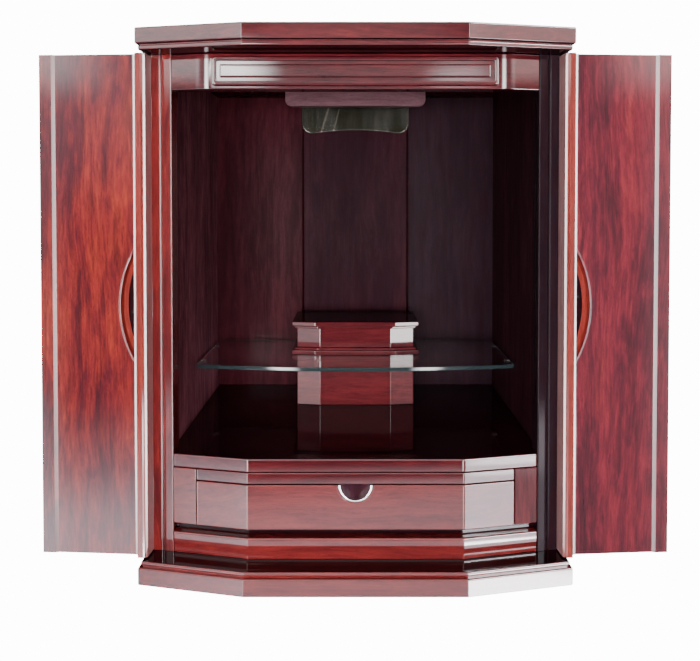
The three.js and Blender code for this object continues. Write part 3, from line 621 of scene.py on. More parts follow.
# header rail with its swept ends, and the fielded panel on its middle
headerShape = {"bendReach": 9.0, "behindPost": 1.5, "arris": 1.6, "frameRound": 2.2, "frameWidth": 5.0,
               "grooveWidth": 4.0, "grooveDepth": 3.4, "fieldRound": 1.6, "sweepSteps": 16}


def makeHeaderRail():
    h = headerShape
    (_, front, z0), (end, back, z1) = boxOf("header_rail")
    half = boxOf("header_panel")[1][0]
    postFace = frontY(end, postShape["setback"]) + h["behindPost"]
    bendAt = end - (postFace - front) / math.tan(facet)
    near, far = bendAt - h["bendReach"], bendAt + h["bendReach"]
    farY = front + h["bendReach"] * math.tan(facet)
    steps = [i / h["sweepSteps"] for i in range(h["sweepSteps"] + 1)]
    right = [(half, front)] + [(curve(near, bendAt, far, t), curve(front, front, farY, t)) for t in steps]
    right += [(end, postFace), (end, back)]
    loop = [(-x, y) for x, y in reversed(right)] + right
    rounding = [(h["arris"], 0.0), (0.5, 0.5), (0.0, h["arris"])]
    levels = [(inset, z0 + up) for inset, up in rounding]
    levels += [(inset, z1 - up) for inset, up in reversed(rounding)]
    bm = ringStack([[(x, min(y + inset, back), z) for x, y in loop] for inset, z in levels])
    objectFrom("header_board", bm, [wood["header"]], "cabinet", ["header_rail"])


def makeHeaderPanel():
    h = headerShape
    (x0, front, z0), (x1, back, z1) = boxOf("header_panel")
    edge = h["frameWidth"]
    inner, floor = edge + h["grooveWidth"], front + h["grooveDepth"]
    steps = [(0.0, back), (0.0, front + h["frameRound"])] + frontRound(0.0, front, h["frameRound"])
    steps += [(edge - 1.2, front), (edge - 0.3, front + 0.5), (edge, floor), (inner, floor)]
    steps += [(inner, front + h["fieldRound"])] + frontRound(inner, front, h["fieldRound"])
    rings = []
    for inset, y in steps:
        corners = [(x0 + inset, z0 + inset), (x1 - inset, z0 + inset),
                   (x1 - inset, z1 - inset), (x0 + inset, z1 - inset)]
        rings.append([(x, y, z) for x, z in roundCorners(corners, max(0.6, 3.0 - inset * 0.3))])
    objectFrom("header_fielded_panel", ringStack(rings), [wood["header"]], "cabinet", ["header_panel"])


makeHeaderRail()
makeHeaderPanel()


# plinth: a flat band standing proud of a shallow hollow
plinthShape = {"hollowHeight": 11.5, "hollowDepth": 1.6, "round": 2.2, "setback": 34.0}


def makePlinth():
    p = plinthShape
    (_, _, bottom), (half, back, top) = boxOf("plinth")
    front, r = p["setback"], p["round"]
    profile = []
    for t in [i / 8 for i in range(9)]:
        deep = p["hollowDepth"] * math.sin(math.pi * (0.25 + 0.75 * t))
        profile.append((front + deep, bottom + p["hollowHeight"] * t))
    profile += edgeRound(front + r, top - r, r, 0, 90)
    bm = planStack(profile, lambda setback: facetLoop(half, setback, back))
    objectFrom("plinth_board", bm, [wood["base"]], "cabinet", ["plinth"])


makePlinth()
print("header and plinth ready")


# drawer: rounded boards, and the rim of the half-moon pull swept round its arc over a dark cup, whose dark
# board tone is painted shade in the pocket
pullShape = {"wall": 2.2, "rimRound": 1.0, "steps": 40, "cupProud": 0.3}


def makePull():
    p = pullShape
    (_, front, _), (radius, back, topZ) = boxOf("drawer_pull")
    inner, r = radius - p["wall"], p["rimRound"]
    section = [(inner, back), (radius, back), (radius, front + r)]
    section += [(radius - inset, y) for inset, y in frontRound(0.0, front, r)]
    section += frontRound(inner, front, r)[::-1] + [(inner, front + r)]
    around = arc(0, 0, 1, 180, 360, p["steps"])
    bm = ringStack([[(d * c, y, topZ + d * s) for d, y in section] for c, s in around])
    cup = radius - p["wall"] / 2
    rim = [Vector((cup * c, back - p["cupProud"], topZ + cup * s)) * mm for c, s in around]
    bm.faces.new([bm.verts.new(place) for place in rim])
    # the cup wears a dark board tone: painted shade in the pocket
    made = objectFrom("half_moon_pull", bm, [metal, wood["boardMiddle"]], "drawer", ["drawer_pull"])
    paint(made, lambda face: len(face.vertices) > 30)


roundedNode("drawer_front", [wood["drawer"]], "drawer", 1.2)
for node in ("drawer_side_left", "drawer_side_right", "drawer_back", "drawer_bottom"):
    roundedNode(node, [wood["inside"]], "drawer", 0.6, 2)
makePull()
print("drawer ready")


# pedestal: plain faceted boxes between thin moulded slabs
pedestalShape = {"facetHalf": 48.0, "cornerSetback": 5.5, "boxHalf": 80.0, "cornerRound": 1.0,
                 "step": 3.0, "nosing": 1.4, "boxArris": 0.3}


def pedestalStack(profile, front, back):
    p = pedestalShape

    def loopOf(grow):
        half, middle, fore, rear = p["boxHalf"] + grow, p["facetHalf"] + grow, front - grow, back + grow / 2
        corners = [(-half, fore + p["cornerSetback"]), (-middle, fore), (middle, fore),
                   (half, fore + p["cornerSetback"]), (half, rear), (-half, rear)]
        return roundCorners(corners, p["cornerRound"])

    return planStack(profile, loopOf)


def makePedestalSlab(node, name, upsideDown):
    p = pedestalShape
    (_, front, _), (_, back, _) = boxOf("pedestal_upper_box")
    (_, _, z0), (x1, _, z1) = boxOf(node)
    step, r = p["step"], p["nosing"]
    proud = x1 - p["boxHalf"]
    profile = [(proud - 0.6, z0), (proud, z0 + 0.6)]
    profile += [(proud - r + dx, z) for dx, z in arc(0, z1 - step - r, r, 0, 90, 5)]
    profile += [(step + 0.8, z1 - step), (step, z1 - step + 0.8), (step, z1 - 0.7), (step - 0.7, z1)]
    if upsideDown:
        profile = [(grow, z0 + z1 - z) for grow, z in reversed(profile)]
    bm = pedestalStack(profile, front, back)
    made = objectFrom(name, bm, [wood["pedestal"], wood["floor"]], "cabinet", [node])
    # upward faces of the slabs wear the darkest floor tone: painted dark reflection
    paint(made, lambda face: face.normal.z > 0.9)
    return made


def makePedestalBox(node, name):
    (_, front, z0), (_, back, z1) = boxOf(node)
    a = pedestalShape["boxArris"]
    bm = pedestalStack([(-a, z0), (0, z0 + a), (0, z1 - a), (-a, z1)], front, back)
    return objectFrom(name, bm, [wood["pedestal"]], "cabinet", [node])


pedestal = [
    makePedestalBox("pedestal_lower_box", "pedestal_lower"),
    makePedestalBox("pedestal_upper_box", "pedestal_upper"),
    makePedestalSlab("pedestal_foot", "pedestal_foot_slab", False),
    makePedestalSlab("pedestal_top", "pedestal_top_slab", True),
]
print("pedestal ready")


# Geometry Nodes: a tree with named inputs, and its result as a plain mesh
class GeometryTree(NodeKit):
    def __init__(self, name, inputs):
        self.tree = bpy.data.node_groups.new(name, "GeometryNodeTree")
        self.tree.is_modifier = True
        for label, kind in {"Geometry": "Geometry", **inputs}.items():
            self.tree.interface.new_socket(label, in_out="INPUT", socket_type="NodeSocket" + kind)
        self.tree.interface.new_socket("Geometry", in_out="OUTPUT", socket_type="NodeSocketGeometry")
        self.source = self.tree.nodes.new("NodeGroupInput")
        self.sink = self.tree.nodes.new("NodeGroupOutput")

    def value(self, label):
        return Link(self, self.source.outputs[label])

    def finish(self, geometry, material):
        realized = self.node("GeometryNodeRealizeInstances", None, [geometry])
        painted = self.node("GeometryNodeSetMaterial", None, {"Geometry": realized, "Material": material})
        self.feed(self.sink.inputs[0], painted)

    def build(self, name, settings):
        holder = linked(name, bpy.data.meshes.new(name))
        modifier = holder.modifiers.new("nodes", "NODES")
        modifier.node_group = self.tree
        for item in self.tree.interface.items_tree:
            if item.in_out == "INPUT" and item.name in settings:
                modifier[item.identifier] = settings[item.name]
        return applied(holder)


# glass shelf: a grid whose front edge bows forward, given thickness downwards
glassShape = {"bow": 21.0, "columns": 65, "rows": 5, "arris": 0.8}


def makeGlassShelf():
    g = glassShape
    low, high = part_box("glass_shelf")
    sizes = {"Half width": high.x, "Front": low.y, "Back": high.y, "Bow": g["bow"] * mm,
             "Top": high.z, "Thickness": high.z - low.z}
    t = GeometryTree("bowedGlass", {label: "Float" for label in sizes})
    grid = t.node("GeometryNodeMeshGrid", None, {
        "Size X": 2.0, "Size Y": 1.0, "Vertices X": g["columns"], "Vertices Y": g["rows"]})
    across, along, _ = t.axes(t.node("GeometryNodeInputPosition"))
    bowed = across * across * t.value("Bow") + t.value("Front")
    depth = t.node("ShaderNodeMix", {"data_type": "FLOAT"}, {0: along + 0.5, 2: bowed, 3: t.value("Back")})
    spot = t.node("ShaderNodeCombineXYZ", None, [across * t.value("Half width"), depth, t.value("Top")])
    shaped = t.node("GeometryNodeSetPosition", None, {"Geometry": grid, "Position": spot})
    down = t.node("ShaderNodeCombineXYZ", None, {"Z": -1.0 * t.value("Thickness")})
    sunk = t.node("GeometryNodeExtrudeMesh", None, {
        "Mesh": shaped, "Offset": down, "Offset Scale": 1.0, "Individual": False})
    flipped = t.node("GeometryNodeFlipFaces", None, [shaped])
    joined = t.node("GeometryNodeJoinGeometry", None, [sunk])
    t.feed(joined.socket.node.inputs[0], flipped)
    merged = t.node("GeometryNodeMergeByDistance", None, {"Geometry": joined, "Distance": 1e-5})
    t.finish(merged, glassFace)
    bm = bmesh.new()
    bm.from_mesh(t.build("bowedGlassMesh", sizes))
    bmesh.ops.recalc_face_normals(bm, faces=bm.faces)
    mesh = bevelled(meshFrom("glassShelf", bm), g["arris"], 2, 40)
    piece = dress("glass_shelf_plate", mesh, [glassFace, glassEdge], "cabinet", ["glass_shelf"],
                  40)
    paint(piece, lambda face: abs(face.normal.z) <= 0.9)


makeGlassShelf()


# small turned parts in millimetres, one row each by instances on a line of points
def turn(bm, angle, axis):
    bmesh.ops.rotate(bm, matrix=Matrix.Rotation(angle, 3, axis), verts=bm.verts)


def shift(bm, x, y, z):
    bmesh.ops.translate(bm, vec=(x * mm, y * mm, z * mm), verts=bm.verts)


def lathe(profile, steps, axis="Z"):
    bm = bmesh.new()
    around = arc(0, 0, mm, 0, 360, steps)[:-1]
    lines = [[bm.verts.new((r * c, r * s, z * mm)) for r, z in profile] for c, s in around]
    for near, far in zip(lines, lines[1:] + lines[:1]):
        for k in range(len(profile) - 1):
            bm.faces.new((near[k], far[k], far[k + 1], near[k + 1]))
    bmesh.ops.remove_doubles(bm, verts=bm.verts, dist=1e-7)
    if axis != "Z":
        turn(bm, math.pi / 2, "Y" if axis == "X" else "X")
    bmesh.ops.recalc_face_normals(bm, faces=bm.faces)
    return bm


rowTree = GeometryTree("rowOfParts", {"Count": "Int", "Start": "Vector", "Step": "Vector", "Part": "Object"})


def buildRowTree(t):
    line = t.node("GeometryNodeMeshLine", None, {
        "Count": t.value("Count"), "Start Location": t.value("Start"), "Offset": t.value("Step")})
    part = t.node("GeometryNodeObjectInfo", None, {"Object": t.value("Part")}, "Geometry")
    t.finish(t.node("GeometryNodeInstanceOnPoints", None, {"Points": line, "Instance": part}), metal)


buildRowTree(rowTree)


def rowOf(name, bm, count, start, step):
    part = linked(name + "Part", meshFrom(name + "Part", bm))
    result = rowTree.build(name, {"Count": count, "Start": start, "Step": step, "Part": part})
    bpy.data.objects.remove(part)
    return result


# shelf pins: a collar against the side and a round stem
pinShape = {"collarRadius": 2.448, "collarThick": 1.2, "round": 0.5, "sides": 20}


def makeShelfPins():
    r, collar, thick = pinShape["round"], pinShape["collarRadius"], pinShape["collarThick"]
    for side, hand in sides:
        nodes = ["shelf_pin_front_" + side, "shelf_pin_back_" + side]
        (low, high), (backLow, backHigh) = [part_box(node) for node in nodes]
        half = (high.x - low.x) / 2 / mm
        radius = (high.z - low.z) / 2 / mm
        profile = [(0, half), (radius - r, half), (radius, half - r), (radius, thick - half),
                   (collar, thick - half), (collar, -half), (0, -half)]
        bm = lathe([(d, -hand * z) for d, z in profile], pinShape["sides"], "X")
        centre = (low + high) / 2
        mesh = rowOf("shelfPins", bm, 2, centre, (backLow + backHigh) / 2 - centre)
        dress("shelf_pins_" + side, mesh, [metal], "cabinet", nodes, 40)


makeShelfPins()


# small hook on the back wall: a rosette and a stem that turns up at its end
hookRings = [       # out and up as shares of its length and radius, thickness, and tilt in degrees
    (0.0, 0.0, 0.95, 0), (-0.45, 0.0, 0.62, 0), (-0.75, 0.06, 0.62, 25), (-0.92, 0.2, 0.62, 50),
    (-1.0, 0.42, 0.62, 80)]


def makeHook():
    (x0, y0, z0), (x1, y1, z1) = boxOf("back_hook")
    radius = (x1 - x0) / 2
    rings = []
    for along, up, size, degrees in hookRings:
        tilt = math.radians(degrees)
        y = y1 + along * (y1 - y0) * 0.9
        z = (z0 + z1) / 2 - radius * 0.3 + up * radius * 1.2
        rings.append([((x0 + x1) / 2 + dx, y + rise * math.sin(tilt) * 0.6, z + rise * math.cos(tilt))
                      for dx, rise in arc(0, 0, size * radius, 0, 330, 11)])
    objectFrom("back_hook_turned", ringStack(rings), [metal], "cabinet", ["back_hook"])


makeHook()
roundedNode("lamp_valance", [wood["valance"]], "cabinet", 1.4, 4)
roundedNode("back_mirror", [mirror], "cabinet", 0.6, 2)
print("shelf, lamp and small parts ready")


# door leaves: a moulded section run from top to bottom, then the finger scoop cut in
leafShape = {
    "thick": 18.0, "faceGap": 2.0, "edgeGap": 2.6, "mitreGap": 0.8, "meetingGap": 1.5,
    "strip": 13.4, "bevel": 3.8, "sink": 1.6, "cove": 5.4, "coveFlat": 4.3, "coveRise": 2.5,
    "lip": 7.6, "lipEdge": 2.6, "lipRise": 5.6, "arris": 4.4, "edgeRound": 0.8,
    "barrelRoom": 2.4, "barrelHalf": 18.4,
}
scoopShape = {"length": 124.0, "reach": 17.0, "depth": 10.5, "rim": 2.6, "shade": 0.46, "height": 301.0,
              "shallow": 3.0, "floorRound": 1.5, "sides": 300}
joints = {joint["name"]: joint for joint in frame["joints"]}
axisX = abs(joints["right_door"]["pos_m"][0]) / mm
openTurn = math.radians(joints["right_door"]["range_deg"][1])
outerReach = (axisX - planShape["bend"]) / math.cos(facet)
innerReach = planShape["bend"] - leafShape["meetingGap"] / 2
lipStart = innerReach - leafShape["lipEdge"] - leafShape["lip"]
coveStart = lipStart - leafShape["cove"]
leafField = leafShape["thick"] - leafShape["sink"]
scoopRadius = ((scoopShape["length"] / 2) ** 2 + scoopShape["reach"] ** 2) / (2 * scoopShape["reach"])
scoopMiddle = coveStart - scoopShape["reach"] + scoopRadius


def leafMatrix(hand, side, which):
    turned = hand * (facet + openTurn) - (hand * math.pi if which == "inner" else 0)
    x, y, _ = joints[side + ("_door" if which == "outer" else "_fold")]["pos_m"]
    return Matrix.Translation((x, y, 0)) @ Matrix.Rotation(turned, 4, "Z")


def mitreU(w):
    return leafShape["mitreGap"] / 2 - (w + leafShape["faceGap"] / 2) * math.tan(facet / 2)


def outerProfile():
    s = leafShape
    high, start = s["thick"], s["edgeGap"]
    end = outerReach - mitreU(high)
    return [(start, 0), (outerReach - mitreU(0), 0), (end, high), (end - s["strip"], high),
            (end - s["strip"] - s["bevel"], leafField), (start + s["strip"] + s["bevel"], leafField),
            (start + s["strip"], high), (start, high)]


def innerProfile():
    s = leafShape
    high, a, flat = s["thick"], s["arris"], s["coveFlat"]
    lipHigh = leafField + s["coveRise"] + s["lipRise"]
    steps = [i / 8 for i in range(9)]
    points = [(innerReach, 0), (mitreU(0), 0), (mitreU(high), high), (mitreU(high) + s["strip"], high),
              (mitreU(high) + s["strip"] + s["bevel"], leafField), (coveStart - 0.5, leafField)]
    points += [(coveStart + flat * t, leafField + flat * (0.21 * t + 0.14 * t * t)) for t in steps]
    points += [(lipStart - 0.5, lipHigh - 1.6), (lipStart - 0.2, lipHigh - 0.5), (lipStart + 0.3, lipHigh)]
    points += [(innerReach - a * (1 - t), lipHigh - a * (0.57 * t + 0.19 * t * t)) for t in steps]
    points.append((innerReach, lipHigh - a * 1.2))
    return points


def leafPrism(hand, profile, z0, z1):
    back = leafShape["faceGap"] / 2
    bm = ringStack([[(-hand * u, -(w + back), z) for u, w in profile] for z in (z0, z1)])
    bmesh.ops.recalc_face_normals(bm, faces=bm.faces)
    return meshFrom("leaf", bm)


def scoopCutter(hand):
    c = scoopShape
    deep, rim, r = leafField - c["depth"], c["rim"], c["floorRound"]
    profile = [(0, leafField + 3), (scoopRadius + 1.5, leafField + 3), (scoopRadius + 1.5, leafField + 0.02),
               (scoopRadius, leafField + 0.01)]
    profile += [(scoopRadius + dx, leafField - rim + dw) for dx, dw in arc(0, 0, rim, 90, 180, 8)][1:]
    wall, low = scoopRadius - rim - 0.6, deep + c["shallow"] + r
    profile += [(wall - r + dx, low - dw) for dx, dw in arc(0, 0, r, 0, 90, 3)]
    profile += [(scoopRadius - c["reach"] * c["shade"], deep + c["shallow"] * 0.4),
                (scoopRadius - c["reach"], deep), (0, deep)]
    bm = lathe(profile, c["sides"], "Y")
    shift(bm, -hand * scoopMiddle, -leafShape["faceGap"] / 2, c["height"])
    edge = Vector((-hand * (coveStart + 0.4) * mm, 0, 0))
    cut = bmesh.ops.bisect_plane(bm, geom=bm.verts[:] + bm.edges[:] + bm.faces[:], dist=1e-7,
                                 plane_co=edge, plane_no=(-hand, 0, 0), clear_outer=True)
    edges = [e for e in cut["geom_cut"] if isinstance(e, bmesh.types.BMEdge)]
    bmesh.ops.edgenet_fill(bm, edges=edges)
    bmesh.ops.recalc_face_normals(bm, faces=bm.faces)
    return meshFrom("scoopCutter", bm)


def barrelCutter(x, z):
    radius, half = leafShape["barrelRoom"], leafShape["barrelHalf"]
    bm = lathe([(0, -half), (radius, -half), (radius, half), (0, half)], 24)
    shift(bm, x, 0, z)
    return meshFrom("barrelRoom", bm)


def cutLeaf(mesh, cutters):
    holder = linked("leafHolder", mesh)
    tools = [linked("cutter", cutter) for cutter in cutters]
    for tool in tools:
        boolean = holder.modifiers.new("cut", "BOOLEAN")
        boolean.operation = "DIFFERENCE"
        boolean.object = tool
        boolean.solver = "EXACT"
    return bevelled(applied(holder, *tools), leafShape["edgeRound"], 3, 14)


def hingeHeights(kind, side):
    names = sorted(name for name in frame["nodes"] if name.startswith(f"{kind}_{side}_"))
    return [(low[2] + high[2]) / 2 for low, high in map(boxOf, names)]


# a face of an inner leaf: 0 door, 1 lip, 2 floor of the scoop next to the lip, in the darkest tone as
# painted shade, 3 its rim, 4 tip of the lip, in a pale tone as painted highlight
def leafPart(face, hand):
    c = scoopShape
    u, w = -hand * face.center.x / mm, -face.center.y / mm - leafShape["faceGap"] / 2
    if 1.0 < u < coveStart + 0.3 and 1.0 < w < leafField - 2.4:
        away = math.hypot(u - scoopMiddle, face.center.z / mm - c["height"])
        # faces of the scoop's floor near the lip wear the darkest floor tone: painted shade under the lip
        return 2 if face.normal.y < -0.7 and away < scoopRadius - c["reach"] * c["shade"] else 3
    if u > innerReach - 0.3 and abs(face.normal.x) > 0.9:
        return 4
    return 1 if u > lipStart - 0.4 else 0


def makeLeaves(hand, side, finish):
    (_, _, z0), (_, _, z1) = boxOf("leaf_inner_" + side)
    foldHeights = hingeHeights("fold_hinge_outer", side)
    far = -hand * outerReach
    farRoom = [barrelCutter(far, z) for z in foldHeights]
    nearRoom = [barrelCutter(0, z) for z in foldHeights]
    nearRoom += [barrelCutter(far, z) for z in hingeHeights("case_hinge_post", side)] + [scoopCutter(hand)]
    # the floor tone on the scoop by the lip is painted shade, and the tip tone is a painted highlight
    finishes = [finish] + [wood[name] for name in ("lip", "floor", "scoop", "tip")]
    for which, profile, cutters in (("outer", outerProfile(), farRoom), ("inner", innerProfile(), nearRoom)):
        mesh = cutLeaf(leafPrism(hand, profile, z0, z1), cutters)
        parts = [leafPart(face, hand) if which == "inner" else 0 for face in mesh.polygons]
        mesh.transform(leafMatrix(hand, side, which))
        leaf = dress(f"door_leaf_{which}_{side}", mesh, finishes, f"{side}_{which}_leaf",
                     [f"leaf_{which}_{side}"], 40)
        paint(leaf, lambda face: parts[face.index])


makeLeaves(-1, "left", wood["doorLeft"])
makeLeaves(1, "right", wood["doorRight"])
print("door leaves ready")


# butt hinges: a plate with countersunk screws and its share of the barrel's knuckles
hingeShape = {"barrel": 2.0, "length": 36.0, "splitGap": 0.4, "plateThick": 0.7, "plateWidth": 15.0,
              "plateGap": 0.15, "screwHead": 1.7, "screwDeep": 0.35, "groove": 0.25, "caseSide": 226.0}


def addPart(bm, part):
    mesh = meshFrom("part", part)
    bm.from_mesh(mesh)
    bpy.data.meshes.remove(mesh)


def knuckle(bm, z0, z1):
    r, g = hingeShape["barrel"], hingeShape["groove"]
    addPart(bm, lathe([(0, z0), (r - g, z0), (r, z0 + g), (r, z1 - g), (r - g, z1), (0, z1)], 24))


def plate(bm, *spans):
    for v in bmesh.ops.create_cube(bm, size=1.0)["verts"]:
        v.co = [span[value > 0] * mm for span, value in zip(spans, v.co)]


def screwHead(bm, x, y, z, outward):
    r, deep = hingeShape["screwHead"], hingeShape["screwDeep"]
    part = lathe([(0, 0.05), (r * 0.55, 0.1), (r, 0.0), (r, -deep), (0, -deep)], 16, "Y")
    if outward > 0:
        turn(part, math.pi, "Z")
    shift(part, x, y, z)
    addPart(bm, part)


def hingeHalf(direction, side, faceDistance, outerKnuckles):
    h = hingeShape
    bm = bmesh.new()
    half, middle, gap = h["length"] / 2, h["length"] / 6, h["splitGap"] / 2
    face = faceDistance - h["plateGap"]
    ys = sorted((side * (face - h["plateThick"]), side * face))
    width = direction * h["plateWidth"]
    spans = [(gap - middle, middle - gap)]
    screws = [(0.38, 0.0), (0.8, 0.0)]
    if outerKnuckles:
        spans = [(-half, -middle - gap), (middle + gap, half)]
        screws = [(0.62, -0.33), (0.62, 0.33)]
        root = direction * (h["barrel"] + h["splitGap"])
        plate(bm, sorted((root, width)), ys, (-middle - gap, middle + gap))
    for span in spans:
        knuckle(bm, *span)
        plate(bm, sorted((0, width)), ys, span)
    for reach, share in screws:
        screwHead(bm, width * reach, ys[0] if side > 0 else ys[1], share * h["length"], -side)
    return bm


def makeHinges(hand, side):
    leafFace = leafShape["faceGap"] / 2
    caseHeights = hingeHeights("case_hinge_post", side)
    foldHeights = hingeHeights("fold_hinge_outer", side)
    x, y, _ = joints[side + "_door"]["pos_m"]
    atCase = Matrix.Translation((x, y, 0)) @ Matrix.Rotation(hand * math.pi / 2, 4, "Z")
    outerPlace = leafMatrix(hand, side, "outer")
    foldPlace = outerPlace @ Matrix.Translation((-hand * outerReach * mm, 0, 0))
    rows = [
        ("case_hinge_post", atCase, (hand, 1, axisX - hingeShape["caseSide"], True), caseHeights, "cabinet"),
        ("case_hinge_leaf", outerPlace, (-hand, -1, leafFace, False), caseHeights, f"{side}_outer_leaf"),
        ("fold_hinge_outer", foldPlace, (hand, -1, leafFace, True), foldHeights, f"{side}_outer_leaf"),
        ("fold_hinge_inner", leafMatrix(hand, side, "inner"), (-hand, -1, leafFace, False), foldHeights,
         f"{side}_inner_leaf"),
    ]
    for kind, place, shape, heights, body in rows:
        count = len(heights)
        step = (heights[-1] - heights[0]) / (count - 1)
        mesh = rowOf(kind, hingeHalf(*shape), count, (0, 0, heights[0] * mm), (0, 0, step * mm))
        mesh.transform(place)
        nodes = [f"{kind}_{side}_{i + 1}" for i in range(count)]
        dress(f"{kind}s_{side}", mesh, [metal], body, nodes, 40)


for side, hand in sides:
    makeHinges(hand, side)
print("hinges ready")


# stage: a pale floor and backdrop, soft boxes, and white cards that only reflections see
stageSetup = {
    "floorHalf": 8.0, "floorShade": 0.10, "floorSeen": 14.0, "worldSeen": 14.0, "worldLight": 0.12,
    "cardDistance": 6.0, "cardsFace": (0, -0.2, 0.3),
}


def floorMaterial(name):
    s = newShader(name)
    diffuse = s.node("ShaderNodeBsdfDiffuse", None, {"Color": (stageSetup["floorShade"],) * 3})
    light = s.node("ShaderNodeEmission", None, {"Color": (1, 1, 1), "Strength": stageSetup["floorSeen"]})
    path = s.node("ShaderNodeLightPath", out="Is Camera Ray")
    return s.finish(s.node("ShaderNodeMixShader", None, [path, diffuse, light]))


# a light card whose brightness fades towards its edges
def cardMaterial(name, colour, strength, size, fade):
    s = newShader(name)
    level = 1.0
    for place, length in zip(s.axes(s.objectPlace()), size):
        level = level * s.node("ShaderNodeMapRange", {"interpolation_type": "SMOOTHSTEP"}, {
            "Value": place.magnitude(), "From Min": length / 2, "From Max": length / 2 * (1 - fade)})
    light = s.node("ShaderNodeEmission", None, {"Color": colour, "Strength": strength})
    dark = s.node("ShaderNodeEmission", None, {"Strength": 0.0})
    faded = s.node("ShaderNodeMixShader", None, [level, dark, light])
    return s.finish(s.node("ShaderNodeAddShader", None, [s.node("ShaderNodeBsdfTransparent"), faded]))


def quad(name, x, y, material):
    mesh = bpy.data.meshes.new(name)
    mesh.from_pydata([(-x, -y, 0), (x, -y, 0), (x, y, 0), (-x, y, 0)], [], [(0, 1, 2, 3)])
    mesh.materials.append(material)
    made = linked(name, mesh)
    return made


# placed by its direction from the cabinet, and sized in degrees
def card(name, azimuth, height, wide, tall, strength, colour=(1, 1, 1), fade=0.4, only=()):
    middle = Vector(stageSetup["cardsFace"])
    a, h = math.radians(azimuth), math.radians(height)
    towards = Vector((math.sin(a) * math.cos(h), -math.cos(a) * math.cos(h), math.sin(h)))
    reach = stageSetup["cardDistance"]
    size = [2 * reach * math.tan(math.radians(angle / 2)) for angle in (wide, tall)]
    made = quad(name, size[0] / 2, size[1] / 2, cardMaterial(name, colour, strength, size, fade))
    made.location = middle + reach * towards
    made.rotation_euler = (-towards).to_track_quat("Z", "Y").to_euler()
    made.visible_camera = False
    made.visible_diffuse = False
    made.visible_transmission = False
    made.visible_shadow = False
    if only:
        lit = bpy.data.collections.new(name + "Lights")
        for piece in only:
            lit.objects.link(piece)
        made.light_linking.receiver_collection = lit


def makeWorld():
    s = Shader(bpy.data.worlds.new("studio"), "ShaderNodeOutputWorld")
    light = s.node("ShaderNodeBackground", None, {
        "Color": (0.98, 0.97, 1.0), "Strength": stageSetup["worldLight"]})
    seen = s.node("ShaderNodeBackground", None, {"Color": (1, 1, 1), "Strength": stageSetup["worldSeen"]})
    path = s.node("ShaderNodeLightPath", out="Is Camera Ray")
    scene.world = s.finish(s.node("ShaderNodeMixShader", None, [path, light, seen]))


def softBox(name, place, target, size, power):
    data = bpy.data.lights.new(name, "AREA")
    data.shape = "RECTANGLE"
    data.size, data.size_y = size
    data.energy = power
    light = linked(name, data)
    light.location = place
    light.rotation_euler = (Vector(target) - Vector(place)).to_track_quat("-Z", "Y").to_euler()
    light.visible_glossy = False


cool, pale, rosy = (0.94, 0.98, 1.06), (0.96, 0.97, 1.03), (1.0, 0.9, 0.92)
floor = quad("studioFloor", stageSetup["floorHalf"], stageSetup["floorHalf"], floorMaterial("floorPale"))
floor.visible_glossy = False
makeWorld()
softBox("keyAbove", (0.0, -1.6, 1.9), (0, 0, 0.28), (1.5, 0.8), 9)
softBox("frontFill", (-0.15, -2.3, 0.26), (0, 0, 0.30), (1.2, 0.5), 92)
softBox("leftBox", (-1.45, -1.55, 0.7), (-0.15, -0.1, 0.35), (0.6, 1.0), 5)
softBox("backBox", (0.0, 2.4, 1.1), (0, 0.2, 0.3), (1.6, 1.0), 70)
softBox("leftSideBox", (-2.3, 0.5, 0.9), (-0.2, 0.05, 0.3), (1.0, 1.0), 34)
softBox("rightSideBox", (2.3, 0.5, 0.9), (0.2, 0.05, 0.3), (1.0, 1.0), 34)
card("above", 0, 52, 80, 60, 5)
card("farLeft", -62, 0, 24, 60, 36)
card("farRight", 62, 0, 24, 60, 46)
card("windowLeft", -17, -2, 9, 66, 40, fade=0.8)
card("windowRight", 17, -2, 9, 66, 34, fade=0.8)
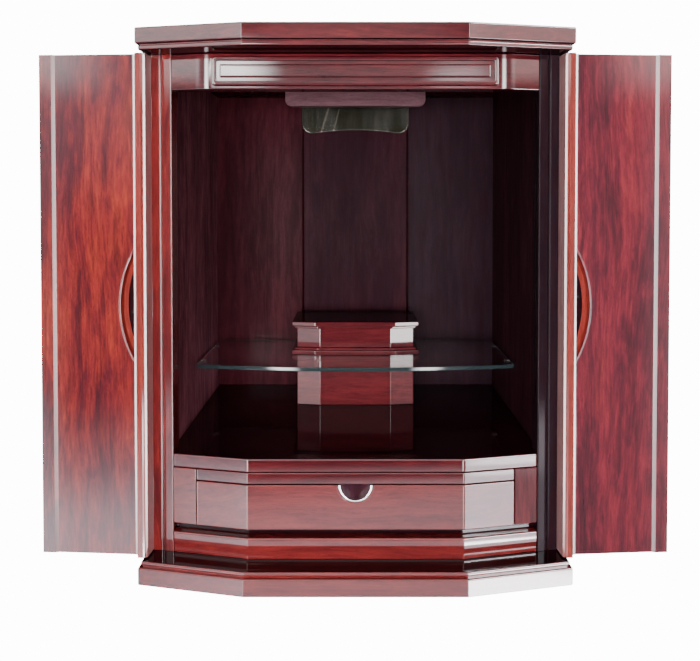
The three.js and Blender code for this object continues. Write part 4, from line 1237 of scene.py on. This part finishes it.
card("edgeLeft", -33, 0, 6, 60, 0.7, fade=0.7)
card("edgeRight", 33, 0, 6, 60, 0.8, fade=0.7)
card("pedestalLeft", -24, -14, 10, 16, 3, rosy, 0.2, pedestal)
card("pedestalRight", 24, -14, 10, 16, 24, (1, 1, 1), 0.2, pedestal)
card("altarLeft", -24, 14, 10, 18, 18, rosy, 0.2, [altarFloor])
card("altarRight", 24, 14, 10, 18, 5, (0.95, 0.98, 1.0), 0.2, [altarFloor])
card("headerGlow", -10.3, 11.4, 9, 4, 36, fade=0.9)
card("headerHaze", 0, 10.6, 26, 3.6, 1.2, (1.0, 0.94, 0.94), fade=0.5)
card("headerHazeRight", 8.6, 10.8, 7, 3.6, 7.5, (1.0, 0.88, 0.9), fade=0.8)
card("leftHaze", -41, -4, 9, 46, 0.3, (0.88, 1.0, 1.1), fade=0.5)
card("doorHazeRight", 27, -7, 22, 58, 0.6, (0.95, 1.0, 1.06), fade=0.3)
card("doorHazeLeft", -27, -3, 22, 44, 0.3, (0.9, 1.0, 1.1))
card("upperLeft", -39, 15, 26, 14, 5.2, fade=0.5)
card("upperRight", 39, 15, 26, 14, 5.6, (1.0, 0.68, 0.66), fade=0.5)
card("upperMiddle", 0, 14, 22, 7, 0.9, fade=0.6)
card("doorTopLeft", -28, 12, 20, 30, 1.1, (0.9, 1.0, 1.1), fade=0.9)
card("ledgeRight", 41, 25, 16, 14, 130, pale, fade=0.3)
card("ledgeLeft", -41, 25, 16, 14, 6, pale, fade=0.3)
card("lowerBand", -12, -33, 64, 27, 3.0, cool)
card("doorLowLeft", -28, -27, 16, 27, 3.2, cool, fade=0.7)
card("lowerLeft", -40, -24, 18, 24, 2.5, (0.74, 1.0, 1.1), fade=0.3)
card("lowerRight", 40, -24, 12, 20, 14, (0.97, 0.95, 1.03), fade=0.2)
card("lowerRightHigh", 40, -18, 12, 5, 14, (1.0, 0.93, 0.97), fade=0.5)
card("lowerRightNear", 40, -29, 14, 8, 60, (1.0, 0.98, 1.0))
print("stage ready")
